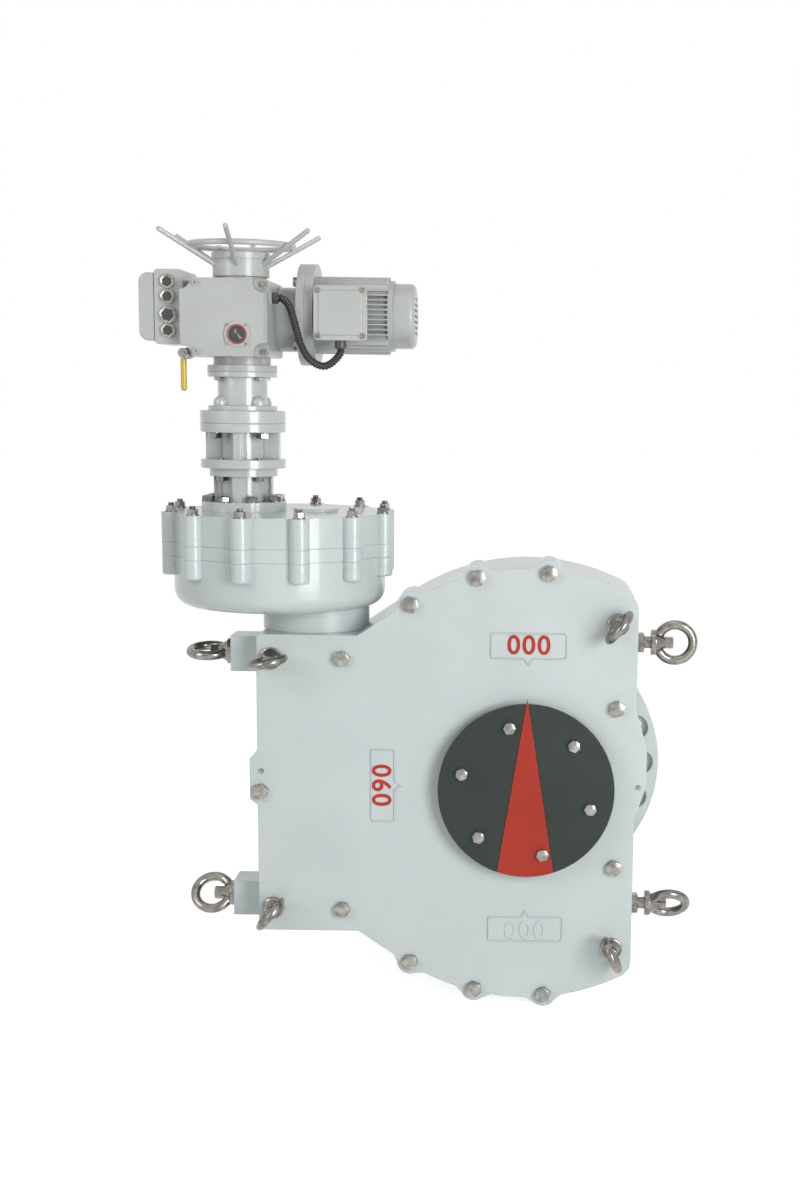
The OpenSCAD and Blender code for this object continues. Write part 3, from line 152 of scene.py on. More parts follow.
# ---------------------------------------------------------------- gearbox housing
# Cast iron body of the worm gearbox with its valve flange, lifting blocks and bolt lobes.
# Glossy two-pack enamel over the casting: wet-looking grey green with a fine orange peel,
# and under it the slow waves that the sand mould leaves.
def paint(name, light, dark, roughness, peel, sand, coat, soft_edge=0.0, gleam=0.5):
    """Sprayed paint. peel and sand are the heights in mm of the fine and the slow waves, soft_edge
    the radius in mm by which the paint rounds every edge, and gleam how strongly it mirrors."""
    material = bpy.data.materials.new(name)
    material.use_nodes = True
    tree = material.node_tree
    shader = tree.nodes["Principled BSDF"]
    place = add(tree, "TexCoord").outputs["Object"]
    cloud = add(tree, "TexNoise", None, {"Vector": place, "Scale": 7.0, "Detail": 4.0})
    tone = add(tree, "ValToRGB", None, {"Fac": cloud.outputs["Fac"]})
    tone.color_ramp.elements[0].position, tone.color_ramp.elements[1].position = 0.3, 0.7
    tone.color_ramp.elements[0].color, tone.color_ramp.elements[1].color = linear(dark), linear(light)
    tree.links.new(tone.outputs["Color"], shader.inputs["Base Color"])
    # handled and dusty patches are a little duller
    patch = add(tree, "TexNoise", None, {"Vector": place, "Scale": 9.0, "Detail": 1.0})
    dull = add(tree, "MapRange", None, {"Value": patch.outputs["Fac"], "From Min": 0.3, "From Max": 0.7,
                                        "To Min": roughness * 0.96, "To Max": roughness * 1.08})
    tree.links.new(dull.outputs["Result"], shader.inputs["Roughness"])
    # real orange peel is about 2 mm from wave to wave; 9 mm is what the picture can show
    skin = add(tree, "TexNoise", None, {"Vector": place, "Scale": 1 / 0.009, "Detail": 0.0})
    wave = add(tree, "TexNoise", None, {"Vector": place, "Scale": 1 / 0.034, "Detail": 0.0})
    slow = add(tree, "Bump", None, {"Height": wave.outputs["Fac"], "Distance": sand / 1000})
    if soft_edge:
        edge = add(tree, "Bevel", {"samples": 6}, {"Radius": soft_edge / 1000})
        tree.links.new(edge.outputs["Normal"], slow.inputs["Normal"])
    fine = add(tree, "Bump", None, {"Height": skin.outputs["Fac"], "Distance": peel / 1000,
                                    "Normal": slow.outputs["Normal"]})
    tree.links.new(fine.outputs["Normal"], shader.inputs["Normal"])
    shader.inputs["Specular IOR Level"].default_value = gleam
    shader.inputs["Coat Weight"].default_value = coat
    shader.inputs["Coat Roughness"].default_value = 0.07
    return material


def moved(x, y, z):
    """A move by x, y, z in mm."""
    return Matrix.Translation((x / 1000, y / 1000, z / 1000))


def turned(angle, axis):
    return Matrix.Rotation(math.radians(angle), 4, axis)


def polar(radius, angle):
    """The two coordinates of the point on a circle at angle degrees."""
    return radius * math.cos(math.radians(angle)), radius * math.sin(math.radians(angle))


def only(piece):
    """Selects this object alone and makes it the active one."""
    bpy.ops.object.select_all(action="DESELECT")
    piece.select_set(True)
    bpy.context.view_layer.objects.active = piece


def whole_copy(node, name):
    """A copy of a CAD node with its loose triangles merged and its flat faces made whole."""
    piece = bpy.data.objects.new(name, nodes[node].data.copy())
    scene.collection.objects.link(piece)
    piece.matrix_world = nodes[node].matrix_world
    only(piece)
    bpy.ops.object.transform_apply()
    bpy.ops.object.mode_set(mode="EDIT")
    bpy.ops.mesh.select_all(action="SELECT")
    bpy.ops.mesh.remove_doubles(threshold=0.00002)
    bpy.ops.mesh.dissolve_limited(angle_limit=math.radians(0.5))
    bpy.ops.mesh.select_all(action="DESELECT")
    bpy.ops.object.mode_set(mode="OBJECT")
    return piece


def apply_modifier(piece, kind, **settings):
    only(piece)
    step = piece.modifiers.new(kind.lower(), kind)
    for key, value in settings.items():
        setattr(step, key, value)
    bpy.ops.object.modifier_apply(modifier=step.name)


def rounded(piece, width, segments=3, angle=35):
    """Breaks every edge sharper than angle by width mm."""
    apply_modifier(piece, "BEVEL", limit_method="ANGLE", angle_limit=math.radians(angle),
                   width=width / 1000, segments=segments, harden_normals=False)
    return piece


def round_edges(piece, width, segments, chosen):
    """Rounds by width mm the edges for which chosen(middle, direction, normals) is true, in mm."""
    only(piece)
    mesh = bmesh.new()
    mesh.from_mesh(piece.data)
    for item in list(mesh.faces) + list(mesh.verts) + list(mesh.edges):
        item.select = False
    for edge in mesh.edges:
        if len(edge.link_faces) != 2:
            continue
        a, b = (v.co * 1000 for v in edge.verts)
        if chosen((a + b) / 2, (b - a).normalized(), [f.normal for f in edge.link_faces]):
            edge.select = True
    mesh.select_flush(True)
    mesh.to_mesh(piece.data)
    mesh.free()
    bpy.ops.object.mode_set(mode="EDIT")
    bpy.ops.mesh.select_mode(type="EDGE")
    bpy.ops.mesh.bevel(offset=width / 1000, segments=segments, affect="EDGES", clamp_overlap=True)
    bpy.ops.object.mode_set(mode="OBJECT")
    return piece


def dress(piece, material, body, slot, *stands_for, angle=35):
    """Smooths a finished piece, paints it and hangs it on its CAD body."""
    only(piece)
    bpy.ops.object.shade_smooth_by_angle(angle=math.radians(angle))
    apply_modifier(piece, "WEIGHTED_NORMAL", keep_sharp=True)
    piece.data.materials.clear()
    piece.data.materials.append(material)
    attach(piece, body)
    if stands_for:
        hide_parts(*stands_for)
    return piece


def finish_with(material, *names):
    """Gives CAD nodes a material, on every slot that they have."""
    for name in names:
        slots = nodes[name].material_slots
        for place in slots:
            place.material = material
        if not slots:
            nodes[name].data.materials.append(material)


gearbox_enamel = paint("glossy enamel on cast iron", "#C8D1D0", "#C2CCCB", 0.3, 0.06, 0.22, 0.4, 4.0)
finish_with(gearbox_enamel, "worm_end_cover")
dress(rounded(whole_copy("gearbox_housing", "worm_gearbox_body"), 5), gearbox_enamel, "frame",
      "gearbox_paint", "gearbox_housing")


# ---------------------------------------------------------------- front cover
# Cast iron cover, 40 mm thick, machined at the joint and cast rounded along its front edge.
# Three raised plates show the angle of the end positions, two of them with red figures.
FRONT = -358.5
WORM_X, LEFT_X, RIGHT_X = -536.0, -665.0, 269.0
RIM_BOLT_R, TURNED_R = 536, 215
rim_bolts = [(x, side * z) for side in (1, -1)
             for x, z in (polar(RIM_BOLT_R, a) for a in (84.7, 103.5, 122.3))]
cover_bolt_places = rim_bolts + [(RIGHT_X - 48, 202), (RIGHT_X - 48, -202), (WORM_X + 80, 318),
                                 (WORM_X + 80, -318), (LEFT_X + 7, -18)]
dowel_places = [(RIGHT_X + 9, 3), (LEFT_X + 9, 33)]
eye_places = [(LEFT_X + 37, 316), (LEFT_X + 37, -316), (RIGHT_X - 50, 411), (RIGHT_X - 50, -411)]


def on_front_outline(middle, direction, normals):
    """The cast outer edge of the cover's front, without its turned middle and its holes."""
    if abs(middle.y - FRONT) > 0.05 or abs(direction.y) > 0.1:
        return False
    if min(abs(n.y) for n in normals) > 0.2 or max(abs(n.y) for n in normals) < 0.9:
        return False
    if math.hypot(middle.x, middle.z) < TURNED_R:
        return False
    return all(math.hypot(middle.x - x, middle.z - z) > 15
               for x, z in cover_bolt_places + dowel_places + eye_places)


cover = whole_copy("front_cover", "cast_front_cover")
round_edges(cover, 8, 5, on_front_outline)
rounded(cover, 0.8, 2, 50)
dress(cover, gearbox_enamel, "frame", "gearbox_paint", "front_cover")
rubber = paint("black nitrile rubber", "#3A3E3D", "#2C2F2F", 0.6, 0.05, 0.05, 0.0)
finish_with(rubber, "cover_gasket", "sleeve_seal")

figure_paint = paint("red paint on raised figures", "#B9382E", "#A82F27", 0.4, 0.05, 0.05, 0.0, 0.0, 0.3)


def figures(text, name, x, z, turn, material, slot):
    """Raised figures on a plate: x and z in mm are their middle, turned by turn degrees."""
    bpy.ops.object.text_add(location=(0, 0, 0))
    piece = bpy.context.object
    piece.name = name
    piece.data.body = text
    piece.data.align_x, piece.data.align_y = "CENTER", "CENTER"
    piece.data.size = 0.066
    piece.data.space_character = 1.12
    piece.data.extrude = 0.0010
    piece.data.bevel_depth = 0.0004
    piece.data.offset = 0.0006
    only(piece)
    bpy.ops.object.convert(target="MESH")
    piece = bpy.context.object
    piece.data.transform(moved(x, FRONT - 0.9, z) @ (turned(turn, "Y") @ turned(90, "X")))
    return dress(piece, material, "frame", slot)


figures("000", "figures_top", 2, 355, 0, figure_paint, "pointer_red")
figures("090", "figures_left", -355, 1, -90, figure_paint, "pointer_red")
figures("000", "figures_bottom", 2, -364, 180, gearbox_enamel, "gearbox_paint")


# ---------------------------------------------------------------- cover bolts and dowels
# Zinc plated steel hexagon bolts, forged with a slightly domed and chamfered head, on thin
# washers. Two dowel pins line the cover up with the housing.
def metal(name, light, dark, smooth, rough, grain_mm, height_mm):
    """Bare metal: tone and dullness vary in patches, and a fine grain lies in its surface."""
    material = bpy.data.materials.new(name)
    material.use_nodes = True
    tree = material.node_tree
    shader = tree.nodes["Principled BSDF"]
    shader.inputs["Metallic"].default_value = 1.0
    place = add(tree, "TexCoord").outputs["Object"]
    cloud = add(tree, "TexNoise", None, {"Vector": place, "Scale": 1 / 0.018, "Detail": 4.0})
    tone = add(tree, "ValToRGB", None, {"Fac": cloud.outputs["Fac"]})
    tone.color_ramp.elements[0].position, tone.color_ramp.elements[1].position = 0.35, 0.65
    tone.color_ramp.elements[0].color, tone.color_ramp.elements[1].color = linear(dark), linear(light)
    tree.links.new(tone.outputs["Color"], shader.inputs["Base Color"])
    dull = add(tree, "MapRange", None, {"Value": cloud.outputs["Fac"], "From Min": 0.3, "From Max": 0.7,
                                        "To Min": rough, "To Max": smooth})
    tree.links.new(dull.outputs["Result"], shader.inputs["Roughness"])
    grain = add(tree, "TexNoise", None, {"Vector": place, "Scale": 1000 / grain_mm, "Detail": 2.0})
    bump = add(tree, "Bump", None, {"Height": grain.outputs["Fac"], "Distance": height_mm / 1000})
    tree.links.new(bump.outputs["Normal"], shader.inputs["Normal"])
    return material


def cylinder(radius, z0, z1, sides=48, name="part"):
    """An upright cylinder, sizes in mm, about the Z axis."""
    bpy.ops.object.select_all(action="DESELECT")
    bpy.ops.mesh.primitive_cylinder_add(vertices=sides, radius=radius / 1000, depth=(z1 - z0) / 1000,
                                        location=(0, 0, (z0 + z1) / 2000))
    piece = bpy.context.object
    piece.name = name
    bpy.ops.object.transform_apply()
    return piece


def ball(radius, z, sides=48):
    bpy.ops.object.select_all(action="DESELECT")
    bpy.ops.mesh.primitive_uv_sphere_add(segments=sides, ring_count=sides // 2, radius=radius / 1000,
                                         location=(0, 0, z / 1000))
    bpy.ops.object.transform_apply()
    return bpy.context.object


def combine(piece, other, operation):
    apply_modifier(piece, "BOOLEAN", object=other, operation=operation, solver="EXACT")
    bpy.data.objects.remove(other)
    return piece


def joined(pieces, name):
    bpy.ops.object.select_all(action="DESELECT")
    for piece in pieces:
        piece.select_set(True)
    bpy.context.view_layer.objects.active = pieces[0]
    bpy.ops.object.join()
    pieces[0].name = name
    return pieces[0]


def hexagon(flats, z0, height, name):
    """A hexagon head or nut whose corners are turned down to a dome at its top."""
    piece = cylinder(flats / math.sqrt(3), z0 - 2, z0 + height, 6, name)
    dome = flats * 1.7
    combine(piece, ball(dome, z0 + height - dome, 96), "INTERSECT")
    combine(piece, cylinder(flats, z0 - 9, z0, 6), "DIFFERENCE")
    return rounded(piece, 0.5, 2, 28)


def copies(pattern, name, matrices, material, body, slot, node):
    """Copies a pattern to each place, every copy with its own mesh, and hides the CAD node."""
    made = []
    for k, matrix in enumerate(matrices):
        piece = pattern.copy()
        piece.data = pattern.data.copy()
        piece.name = "%s_%d" % (name, k + 1)
        scene.collection.objects.link(piece)
        piece.data.transform(matrix)
        made.append(dress(piece, material, body, slot, *([node] if node and k == 0 else [])))
    bpy.data.objects.remove(pattern)
    return made


def facing_front(x, y, z, turn=0):
    """From upright to pointing out of the front at x, y, z in mm."""
    return moved(x, y, z) @ turned(90, "X") @ turned(turn, "Z")


def upright(x, y, z, turn=0, down=False):
    """Standing at x, y, z in mm, or hanging down from there."""
    return moved(x, y, z) @ (turned(180, "X") if down else Matrix.Identity(4)) @ turned(turn, "Z")


def bolt_with_washer(flats, head_h, washer_r, washer_t, name):
    washer = rounded(cylinder(washer_r, 0, washer_t, 48), 0.6, 2)
    return joined([hexagon(flats, washer_t, head_h, name), washer], name)


zinc = metal("zinc plated steel", "#A9A7A1", "#7C7A75", 0.16, 0.3, 1.4, 0.05)
# M24 bolts, 36 mm across the flats, each tightened to its own angle
tightened = [4, 31, 17, 48, 9, 26, 52, 13, 38, 20, 44]
copies(bolt_with_washer(36, 16, 18.6, 2, "cover_bolt"), "cover_bolt",
       [facing_front(x, FRONT, z, turn) for (x, z), turn in zip(cover_bolt_places, tightened)],
       zinc, "frame", "bright_steel", "cover_bolts")
copies(rounded(cylinder(6, -20, 3, 32, "dowel"), 1, 2), "cover_dowel",
       [facing_front(x, FRONT, z) for x, z in dowel_places], zinc, "frame", "bright_steel", "cover_dowels")


# ---------------------------------------------------------------- eye bolts
# Drop-forged stainless lifting eyes, tumbled to a dark gloss: a ring of round bar grown
# together with a domed collar. Four are screwed into the cover and four into the sides.
def eye_bolt(ring, bar, collar, key, name):
    """A lifting eye along -Y from its seat, with its hole along Z; sizes in mm. The hexagon of
    its shank, key mm across, ends inside the ring."""
    bpy.ops.object.select_all(action="DESELECT")
    bpy.ops.mesh.primitive_torus_add(major_radius=(ring - bar) / 2000, minor_radius=bar / 2000,
                                     major_segments=72, minor_segments=24,
                                     location=(0, -(16 + (ring - bar) / 2) / 1000, 0))
    piece = bpy.context.object
    piece.name = name
    bpy.ops.object.transform_apply()
    bpy.ops.mesh.primitive_cone_add(vertices=64, radius1=collar * 0.92 / 1000, radius2=bar * 0.55 / 1000,
                                    depth=collar * 0.8 / 1000, location=(0, 0, collar * 0.78 / 1000))
    neck = bpy.context.object
    bpy.ops.object.transform_apply()
    foot = combine(cylinder(collar, 0, collar * 0.42, 64), neck, "UNION")
    foot.data.transform(turned(90, "X"))
    combine(piece, foot, "UNION")
    only(piece)
    piece.data.remesh_voxel_size = 0.0016
    bpy.ops.object.voxel_remesh()
    apply_modifier(piece, "SMOOTH", factor=0.5, iterations=8)
    apply_modifier(piece, "DECIMATE", ratio=0.22)
    end = hexagon(key, 4, 12 + bar / 2 + 0.26 * ring, "key")
    end.data.transform(turned(90, "X"))
    return joined([piece, end], name)


eye_steel = metal("tumbled stainless steel", "#98958F", "#74706B", 0.13, 0.26, 3.0, 0.1)
copies(eye_bolt(99, 20, 27.5, 25, "front_eye"), "front_eye",
       [moved(x, FRONT, z) @ turned(turn, "Y") for (x, z), turn in zip(eye_places, (-13, -50, 128, 65))],
       eye_steel, "frame", "eye_steel", "front_eye_bolts")
BLOCK_Y = -245.5
left_seat, right_seat = LEFT_X - 75, RIGHT_X + 39
RIGHT_HIGH, RIGHT_LOW = 351, -328
shank = cylinder(15, -45, 0, 32)
shank.data.transform(turned(90, "X"))
copies(joined([eye_bolt(114, 24, 32, 28, "side_eye"), shank], "side_eye"), "side_eye",
       [moved(x, BLOCK_Y, z) @ turned(side, "Z") @ turned(turn, "Y")
        for x, z, side, turn in ((left_seat, 315, -90, 8), (left_seat, -315, -90, 48),
                                 (right_seat, RIGHT_HIGH, 90, 90), (right_seat, RIGHT_LOW, 90, 48))],
       eye_steel, "frame", "eye_steel", "side_eye_bolts")
copies(hexagon(46.8, 0, 25, "eye_lock_nut"), "eye_lock_nut",
       [moved(RIGHT_X, BLOCK_Y, z) @ turned(90, "Y") for z in (RIGHT_HIGH, RIGHT_LOW)],
       eye_steel, "frame", "eye_steel", "eye_lock_nuts")


# ---------------------------------------------------------------- worm, sector wheel and sleeve
# Inside the gearbox: a ground steel worm, a ductile iron sector wheel keyed to the steel drive
# sleeve, and bronze bushes. Only the sleeve and its bush show, in the stem bore at the back.
ground_steel = metal("ground steel", "#8B8E91", "#828588", 0.27, 0.33, 2.0, 0.02)
finish_with(ground_steel, "worm_bearings", "worm_shaft", "drive_sleeve", "spur_gear", "spur_bearings",
            "pinion_shaft", "coupling_sleeve", "drive_shaft", "motor_rotor")
bronze = metal("cast bronze", "#B58A4C", "#97703B", 0.28, 0.42, 1.5, 0.06)
finish_with(bronze, "rear_bush", "front_bush", "worm_wheel")
sector_iron = metal("machined ductile iron", "#8B8A83", "#747069", 0.3, 0.5, 1.5, 0.08)
finish_with(sector_iron, "sector_wheel")


# ---------------------------------------------------------------- indicator disc
# Steel plate in dark semi-gloss paint, screwed to the end of the drive sleeve, with a red
# wedge laid on it that points at the plates.
DISC, DISC_BOLT_R = -400.5, 164
disc_paint = paint("dark semi-gloss paint on steel plate", "#2D3633", "#28302D", 0.42, 0.05, 0.1, 0.0,
                   0.0, 0.3)
dress(rounded(whole_copy("indicator_disc", "position_disc"), 1.5, 3), disc_paint, "output",
      "disc_black", "indicator_disc")
red_paint = paint("signal red paint", "#AB3323", "#A02D1F", 0.4, 0.05, 0.08, 0.0, 0.0, 0.3)
WEDGE_T, WEDGE_HALF, TIP = 3.0, 69.5, 17.5
disc_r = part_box("indicator_disc")[1][0] * 1000 - 1.5
# its tip stands past the disc, and its base follows the disc's edge
half_angle = math.asin(WEDGE_HALF / disc_r)
base_turns = [half_angle * (1 - k / 5) for k in range(11)]
outline = [(0, disc_r + TIP)] + [(disc_r * math.sin(a), -disc_r * math.cos(a)) for a in base_turns]
bpy.ops.mesh.primitive_circle_add(vertices=len(outline), fill_type="NGON")
wedge = bpy.context.object
wedge.name = "red_wedge"
for point, (x, z) in zip(wedge.data.vertices, outline):
    point.co = (x / 1000, (DISC - WEDGE_T) / 1000, z / 1000)
bpy.ops.object.mode_set(mode="EDIT")
bpy.ops.mesh.select_all(action="SELECT")
bpy.ops.mesh.extrude_region_move(TRANSFORM_OT_translate={"value": (0, (WEDGE_T - 0.05) / 1000, 0)})
bpy.ops.mesh.select_all(action="SELECT")
bpy.ops.mesh.normals_make_consistent(inside=False)
bpy.ops.object.mode_set(mode="OBJECT")
dress(rounded(wedge, 0.7, 2), red_paint, "output", "pointer_red", "indicator_pointer")
# the fifth bolt goes through the wedge
disc_bolts = [polar(DISC_BOLT_R, a) for a in range(45, 360, 60)]
copies(bolt_with_washer(27, 12, 14.2, 2, "disc_bolt"), "disc_bolt",
       [facing_front(x, DISC - lift, z, turn) for (x, z), turn, lift in
        zip(disc_bolts, (8, 33, 51, 17, 42, 25), (0, 0, 0, 0, WEDGE_T, 0))],
       zinc, "output", "bright_steel", "indicator_bolts")


# ---------------------------------------------------------------- spur reducer
# Round cast iron case in three parts, base, ring and lid, clamped by twelve studs that pass
# through half-round bosses on the wall. Each joint is turned with a small chamfer.
CASE_X, MID_Y = -626.0, -203.5
STUD_UP = 24
Z_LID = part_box("case_studs_and_nuts")[1][2] * 1000 - STUD_UP
Z_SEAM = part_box("reducer_ring")[0][2] * 1000
STUD_R, BOSS_R = 268, 24
stud_places = [(CASE_X + x, MID_Y + y) for x, y in (polar(STUD_R, 18 + 30 * i) for i in range(12))]


def on_lid_outline(middle, direction, normals):
    """The cast outer edge of the lid's top."""
    if abs(middle.z - Z_LID) > 0.1 or abs(direction.z) > 0.1 or min(abs(n.z) for n in normals) > 0.2:
        return False
    # the two bosses at the far left stand too close to the wall for so wide a rounding
    return math.hypot(middle.x - CASE_X, middle.y - MID_Y) > 250 and all(
        math.hypot(middle.x - x, middle.y - y) > (50 if i in (5, 6) else 10)
        for i, (x, y) in enumerate(stud_places))


def boss_end(x, y):
    """The flat lower end of a stud's boss, 47 mm under the seam, with its rim cast round."""
    end = cylinder(BOSS_R, Z_SEAM - 47, Z_SEAM - 17, 64, "boss_end")
    round_edges(end, 5, 4, lambda m, d, n: m.z < Z_SEAM - 46)
    end.data.transform(moved(x, y, 0))
    return end


JOINT_EDGE = 1.6
base = rounded(whole_copy("reducer_base", "reducer_base_casting"), JOINT_EDGE, 2)
dress(joined([base] + [boss_end(x, y) for x, y in stud_places], "reducer_base_casting"), gearbox_enamel,
      "frame", "gearbox_paint", "reducer_base")
dress(rounded(whole_copy("reducer_ring", "reducer_middle_ring"), JOINT_EDGE, 2), gearbox_enamel, "frame",
      "gearbox_paint", "reducer_ring")
reducer_lid = round_edges(whole_copy("reducer_lid", "reducer_lid_casting"), 5, 4, on_lid_outline)
dress(rounded(reducer_lid, JOINT_EDGE, 2), gearbox_enamel, "frame", "gearbox_paint", "reducer_lid")


def threaded_end(radius, z0, z1, name, pitch=2.0):
    """A bolt end whose ridges stand for the thread; the pitch is true for M16."""
    piece = cylinder(radius - 0.6, z0, z0 + 0.5, 24, name)
    bpy.ops.object.mode_set(mode="EDIT")
    bpy.ops.mesh.select_mode(type="FACE")
    bpy.ops.mesh.select_all(action="DESELECT")
    bpy.ops.object.mode_set(mode="OBJECT")
    for face in piece.data.polygons:
        face.select = face.normal.z > 0.9
    bpy.ops.object.mode_set(mode="EDIT")
    inner, outer = radius - 0.9, radius
    scale, z = outer / (radius - 0.6), z0 + 0.5
    while z < z1 - pitch:
        bpy.ops.mesh.extrude_region_move(TRANSFORM_OT_translate={"value": (0, 0, pitch / 2000)})
        bpy.ops.transform.resize(value=(scale, scale, 1), center_override=(0, 0, 0))
        bpy.ops.mesh.extrude_region_move(TRANSFORM_OT_translate={"value": (0, 0, pitch / 2000)})
        bpy.ops.transform.resize(value=(inner / outer, inner / outer, 1), center_override=(0, 0, 0))
        scale = outer / inner
        z += pitch
    bpy.ops.object.mode_set(mode="OBJECT")
    return piece


def stud_with_nut(flats, nut_h, washer_r, radius, above, name):
    return joined([bolt_with_washer(flats, nut_h, washer_r, 3, name),
                   threaded_end(radius, nut_h, nut_h + 3 + above, name)], name)


copies(stud_with_nut(24, 14, 15.2, 8, 7, "case_stud"), "case_stud",
       [upright(x, y, Z_LID, 13 * i) for i, (x, y) in enumerate(stud_places)],
       zinc, "frame", "bright_steel", "case_studs_and_nuts")


# ---------------------------------------------------------------- spacer stack
# Two ribbed spacers and the adapter, cast and turned, in glossy grey enamel. Hexagon bolts
# hang in the pockets between the ribs; screws hold the double flange at the top.
INPUT_X = -716.0
# heights from the reducer's lid up: its base flange, the lower spacer's pockets and step, the upper
# spacer with its pockets, the adapter, and the flange under the actuator
Z_LOW = Z_LID + 24
Z_STEP = Z_LOW + 62
Z_UP = Z_STEP + 20
Z_UPWIN = Z_UP + 22
Z_UPFLANGE = Z_UPWIN + 66
Z_ADAPTER = Z_UPFLANGE + 22
Z_F14 = Z_ADAPTER + 31 + 12 + 69
SPACER_R, FLANGE_R, TUBE_R = 105, 85, 61
POCKET_R, BORE_R, ADAPTER_BORE_R = 53, 50.2, 46
DIAGONALS = (45, 135, 225, 315)
spacer_enamel = paint("glossy enamel on turned castings", "#C3C8C5", "#BAC0BD", 0.26, 0.05, 0.12, 0.7, 2.5)


def on_input_axis(piece, turn=0):
    piece.data.transform(moved(INPUT_X, MID_Y, 0) @ turned(turn, "Z"))
    return piece


def ring(outer, inner, z0, z1, edge=1.8):
    """A turned ring about the input axis, sizes in mm, with its edges broken."""
    piece = combine(cylinder(outer, z0, z1, 96), cylinder(inner, z0 - 5, z1 + 5, 96), "DIFFERENCE")
    return on_input_axis(rounded(piece, edge, 3))


def block(x0, x1, y0, y1, z0, z1, name="block"):
    bpy.ops.object.select_all(action="DESELECT")
    bpy.ops.mesh.primitive_cube_add(size=1, location=((x0 + x1) / 2000, (y0 + y1) / 2000, (z0 + z1) / 2000))
    piece = bpy.context.object
    piece.name = name
    piece.scale = ((x1 - x0) / 1000, (y1 - y0) / 1000, (z1 - z0) / 1000)
    bpy.ops.object.transform_apply()
    return piece


def ribs(r0, r1, thick, z0, z1):
    """Four ribs from radius r0 to r1 about the input axis."""
    return [on_input_axis(rounded(block(r0, r1, -thick / 2, thick / 2, z0, z1), 2.5, 3), turn)
            for turn in (0, 90, 180, 270)]


lower = [rounded(whole_copy("lower_spacer", "lower_ribbed_spacer"), 1.5, 3),
         ring(POCKET_R, BORE_R, Z_LOW - 2, Z_STEP + 2)]
lower += ribs(POCKET_R - 1, 66, 16, Z_LOW - 1, Z_STEP + 1)
dress(joined(lower, "lower_ribbed_spacer"), spacer_enamel, "frame", "actuator_paint", "lower_spacer")
upper = [ring(SPACER_R, BORE_R, Z_UP, Z_UPWIN), ring(POCKET_R, BORE_R, Z_UPWIN - 2, Z_UPFLANGE + 2),
         ring(SPACER_R, BORE_R, Z_UPFLANGE, Z_ADAPTER)]
upper += ribs(POCKET_R - 1, 92, 20, Z_UPWIN - 1, Z_UPFLANGE + 1)
dress(joined(upper, "upper_ribbed_spacer"), spacer_enamel, "frame", "actuator_paint", "upper_spacer")


def domed_lug(radius, z0, height):
    """A lug with a round top, beside the tube of the adapter."""
    piece = combine(cylinder(radius, z0, z0 + height, 40), ball(radius, z0 + height, 40), "UNION")
    piece.data.transform(moved(66, 0, 0))
    return piece


parts = [ring(SPACER_R, ADAPTER_BORE_R, Z_ADAPTER, Z_ADAPTER + 31, 2.2),
         ring(FLANGE_R, ADAPTER_BORE_R, Z_ADAPTER + 30, Z_ADAPTER + 43),
         ring(TUBE_R, ADAPTER_BORE_R, Z_ADAPTER + 42, Z_F14 + 1),
         ring(FLANGE_R, ADAPTER_BORE_R, Z_F14, Z_F14 + 13, 1.5)]
parts += [on_input_axis(domed_lug(17, Z_ADAPTER + 42, 8), turn) for turn in DIAGONALS]
dress(joined(parts, "adapter_casting"), spacer_enamel, "frame", "actuator_paint", "adapter")


def around(pcr, count, first):
    """Places on a pitch circle of radius pcr about the input axis."""
    return [(INPUT_X + x, MID_Y + y) for x, y in (polar(pcr, first + i * 360 / count) for i in range(count))]


# a darker copy of the zinc for the bolts in the spacers' pockets and under their flanges: painted shade
shade_darkened_zinc = metal("zinc plated steel darkened as painted shade", "#8F8D88", "#5F5D59", 0.12, 0.28, 1.4, 0.05)
copies(bolt_with_washer(27, 13, 15.5, 2.5, "base_flange_bolt"), "base_flange_bolt",
       [upright(x, y, Z_LOW, 11 * k) for k, (x, y) in enumerate(around(89, 8, 22.5))],
       shade_darkened_zinc, "frame", "bright_steel", "base_flange_bolts")
# their upper ends show in the pockets of the upper spacer
spacer_bolt = [bolt_with_washer(21, 11, 11.7, 2, "spacer_bolt"), cylinder(6.6, -45, -41.5, 24)]
copies(joined(spacer_bolt, "spacer_bolt"), "spacer_bolt",
       [upright(x, y, Z_STEP, 17 * k, True) for k, (x, y) in enumerate(around(66, 4, 45))],
       shade_darkened_zinc, "frame", "bright_steel", "spacer_bolts")
copies(bolt_with_washer(30, 13.5, 16.5, 2.5, "adapter_bolt"), "adapter_bolt",
       [upright(x, y, Z_UPFLANGE, 21 * k, True) for k, (x, y) in enumerate(around(82.5, 4, 45))],
       shade_darkened_zinc, "frame", "bright_steel", "adapter_bolts")
copies(bolt_with_washer(18, 8, 10, 1.5, "flange_screw"), "flange_screw",
       [upright(x, y, Z_F14, 19 * k, True) for k, (x, y) in enumerate(around(72, 4, 45))],
       zinc, "frame", "bright_steel", "flange_studs")


# ---------------------------------------------------------------- actuator housing and cover
# Die cast main housing with its neck and top boss, and the square control cover in front of it,
# notched at its left corners and scooped out around its two screws at the right.
Y_CONTROL = MID_Y - 97
COVER_FRONT = Y_CONTROL - 52
CONTROL_R = INPUT_X + 84
CONTROL_L = CONTROL_R - 206
Z_CASTING = Z_F14 + 13 + 35
Z_TOP = Z_CASTING + 183
screw_heights = (Z_CASTING + 12, Z_TOP - 12)
actuator_enamel = paint("satin enamel on cast aluminium", "#BEC1BD", "#B5B8B5", 0.36, 0.07, 0.25, 0.3, 2.5)
dress(rounded(whole_copy("actuator_housing", "main_casting"), 3.5, 3), actuator_enamel, "frame",
      "actuator_paint", "actuator_housing")
lid = whole_copy("control_cover", "control_cover_casting")
for z in (Z_CASTING + 10, Z_TOP - 10):
    scoop = cylinder(22, 0, 50, 64)
    scoop.data.transform(facing_front(CONTROL_R - 10, Y_CONTROL - 15, z))
    combine(lid, scoop, "DIFFERENCE")
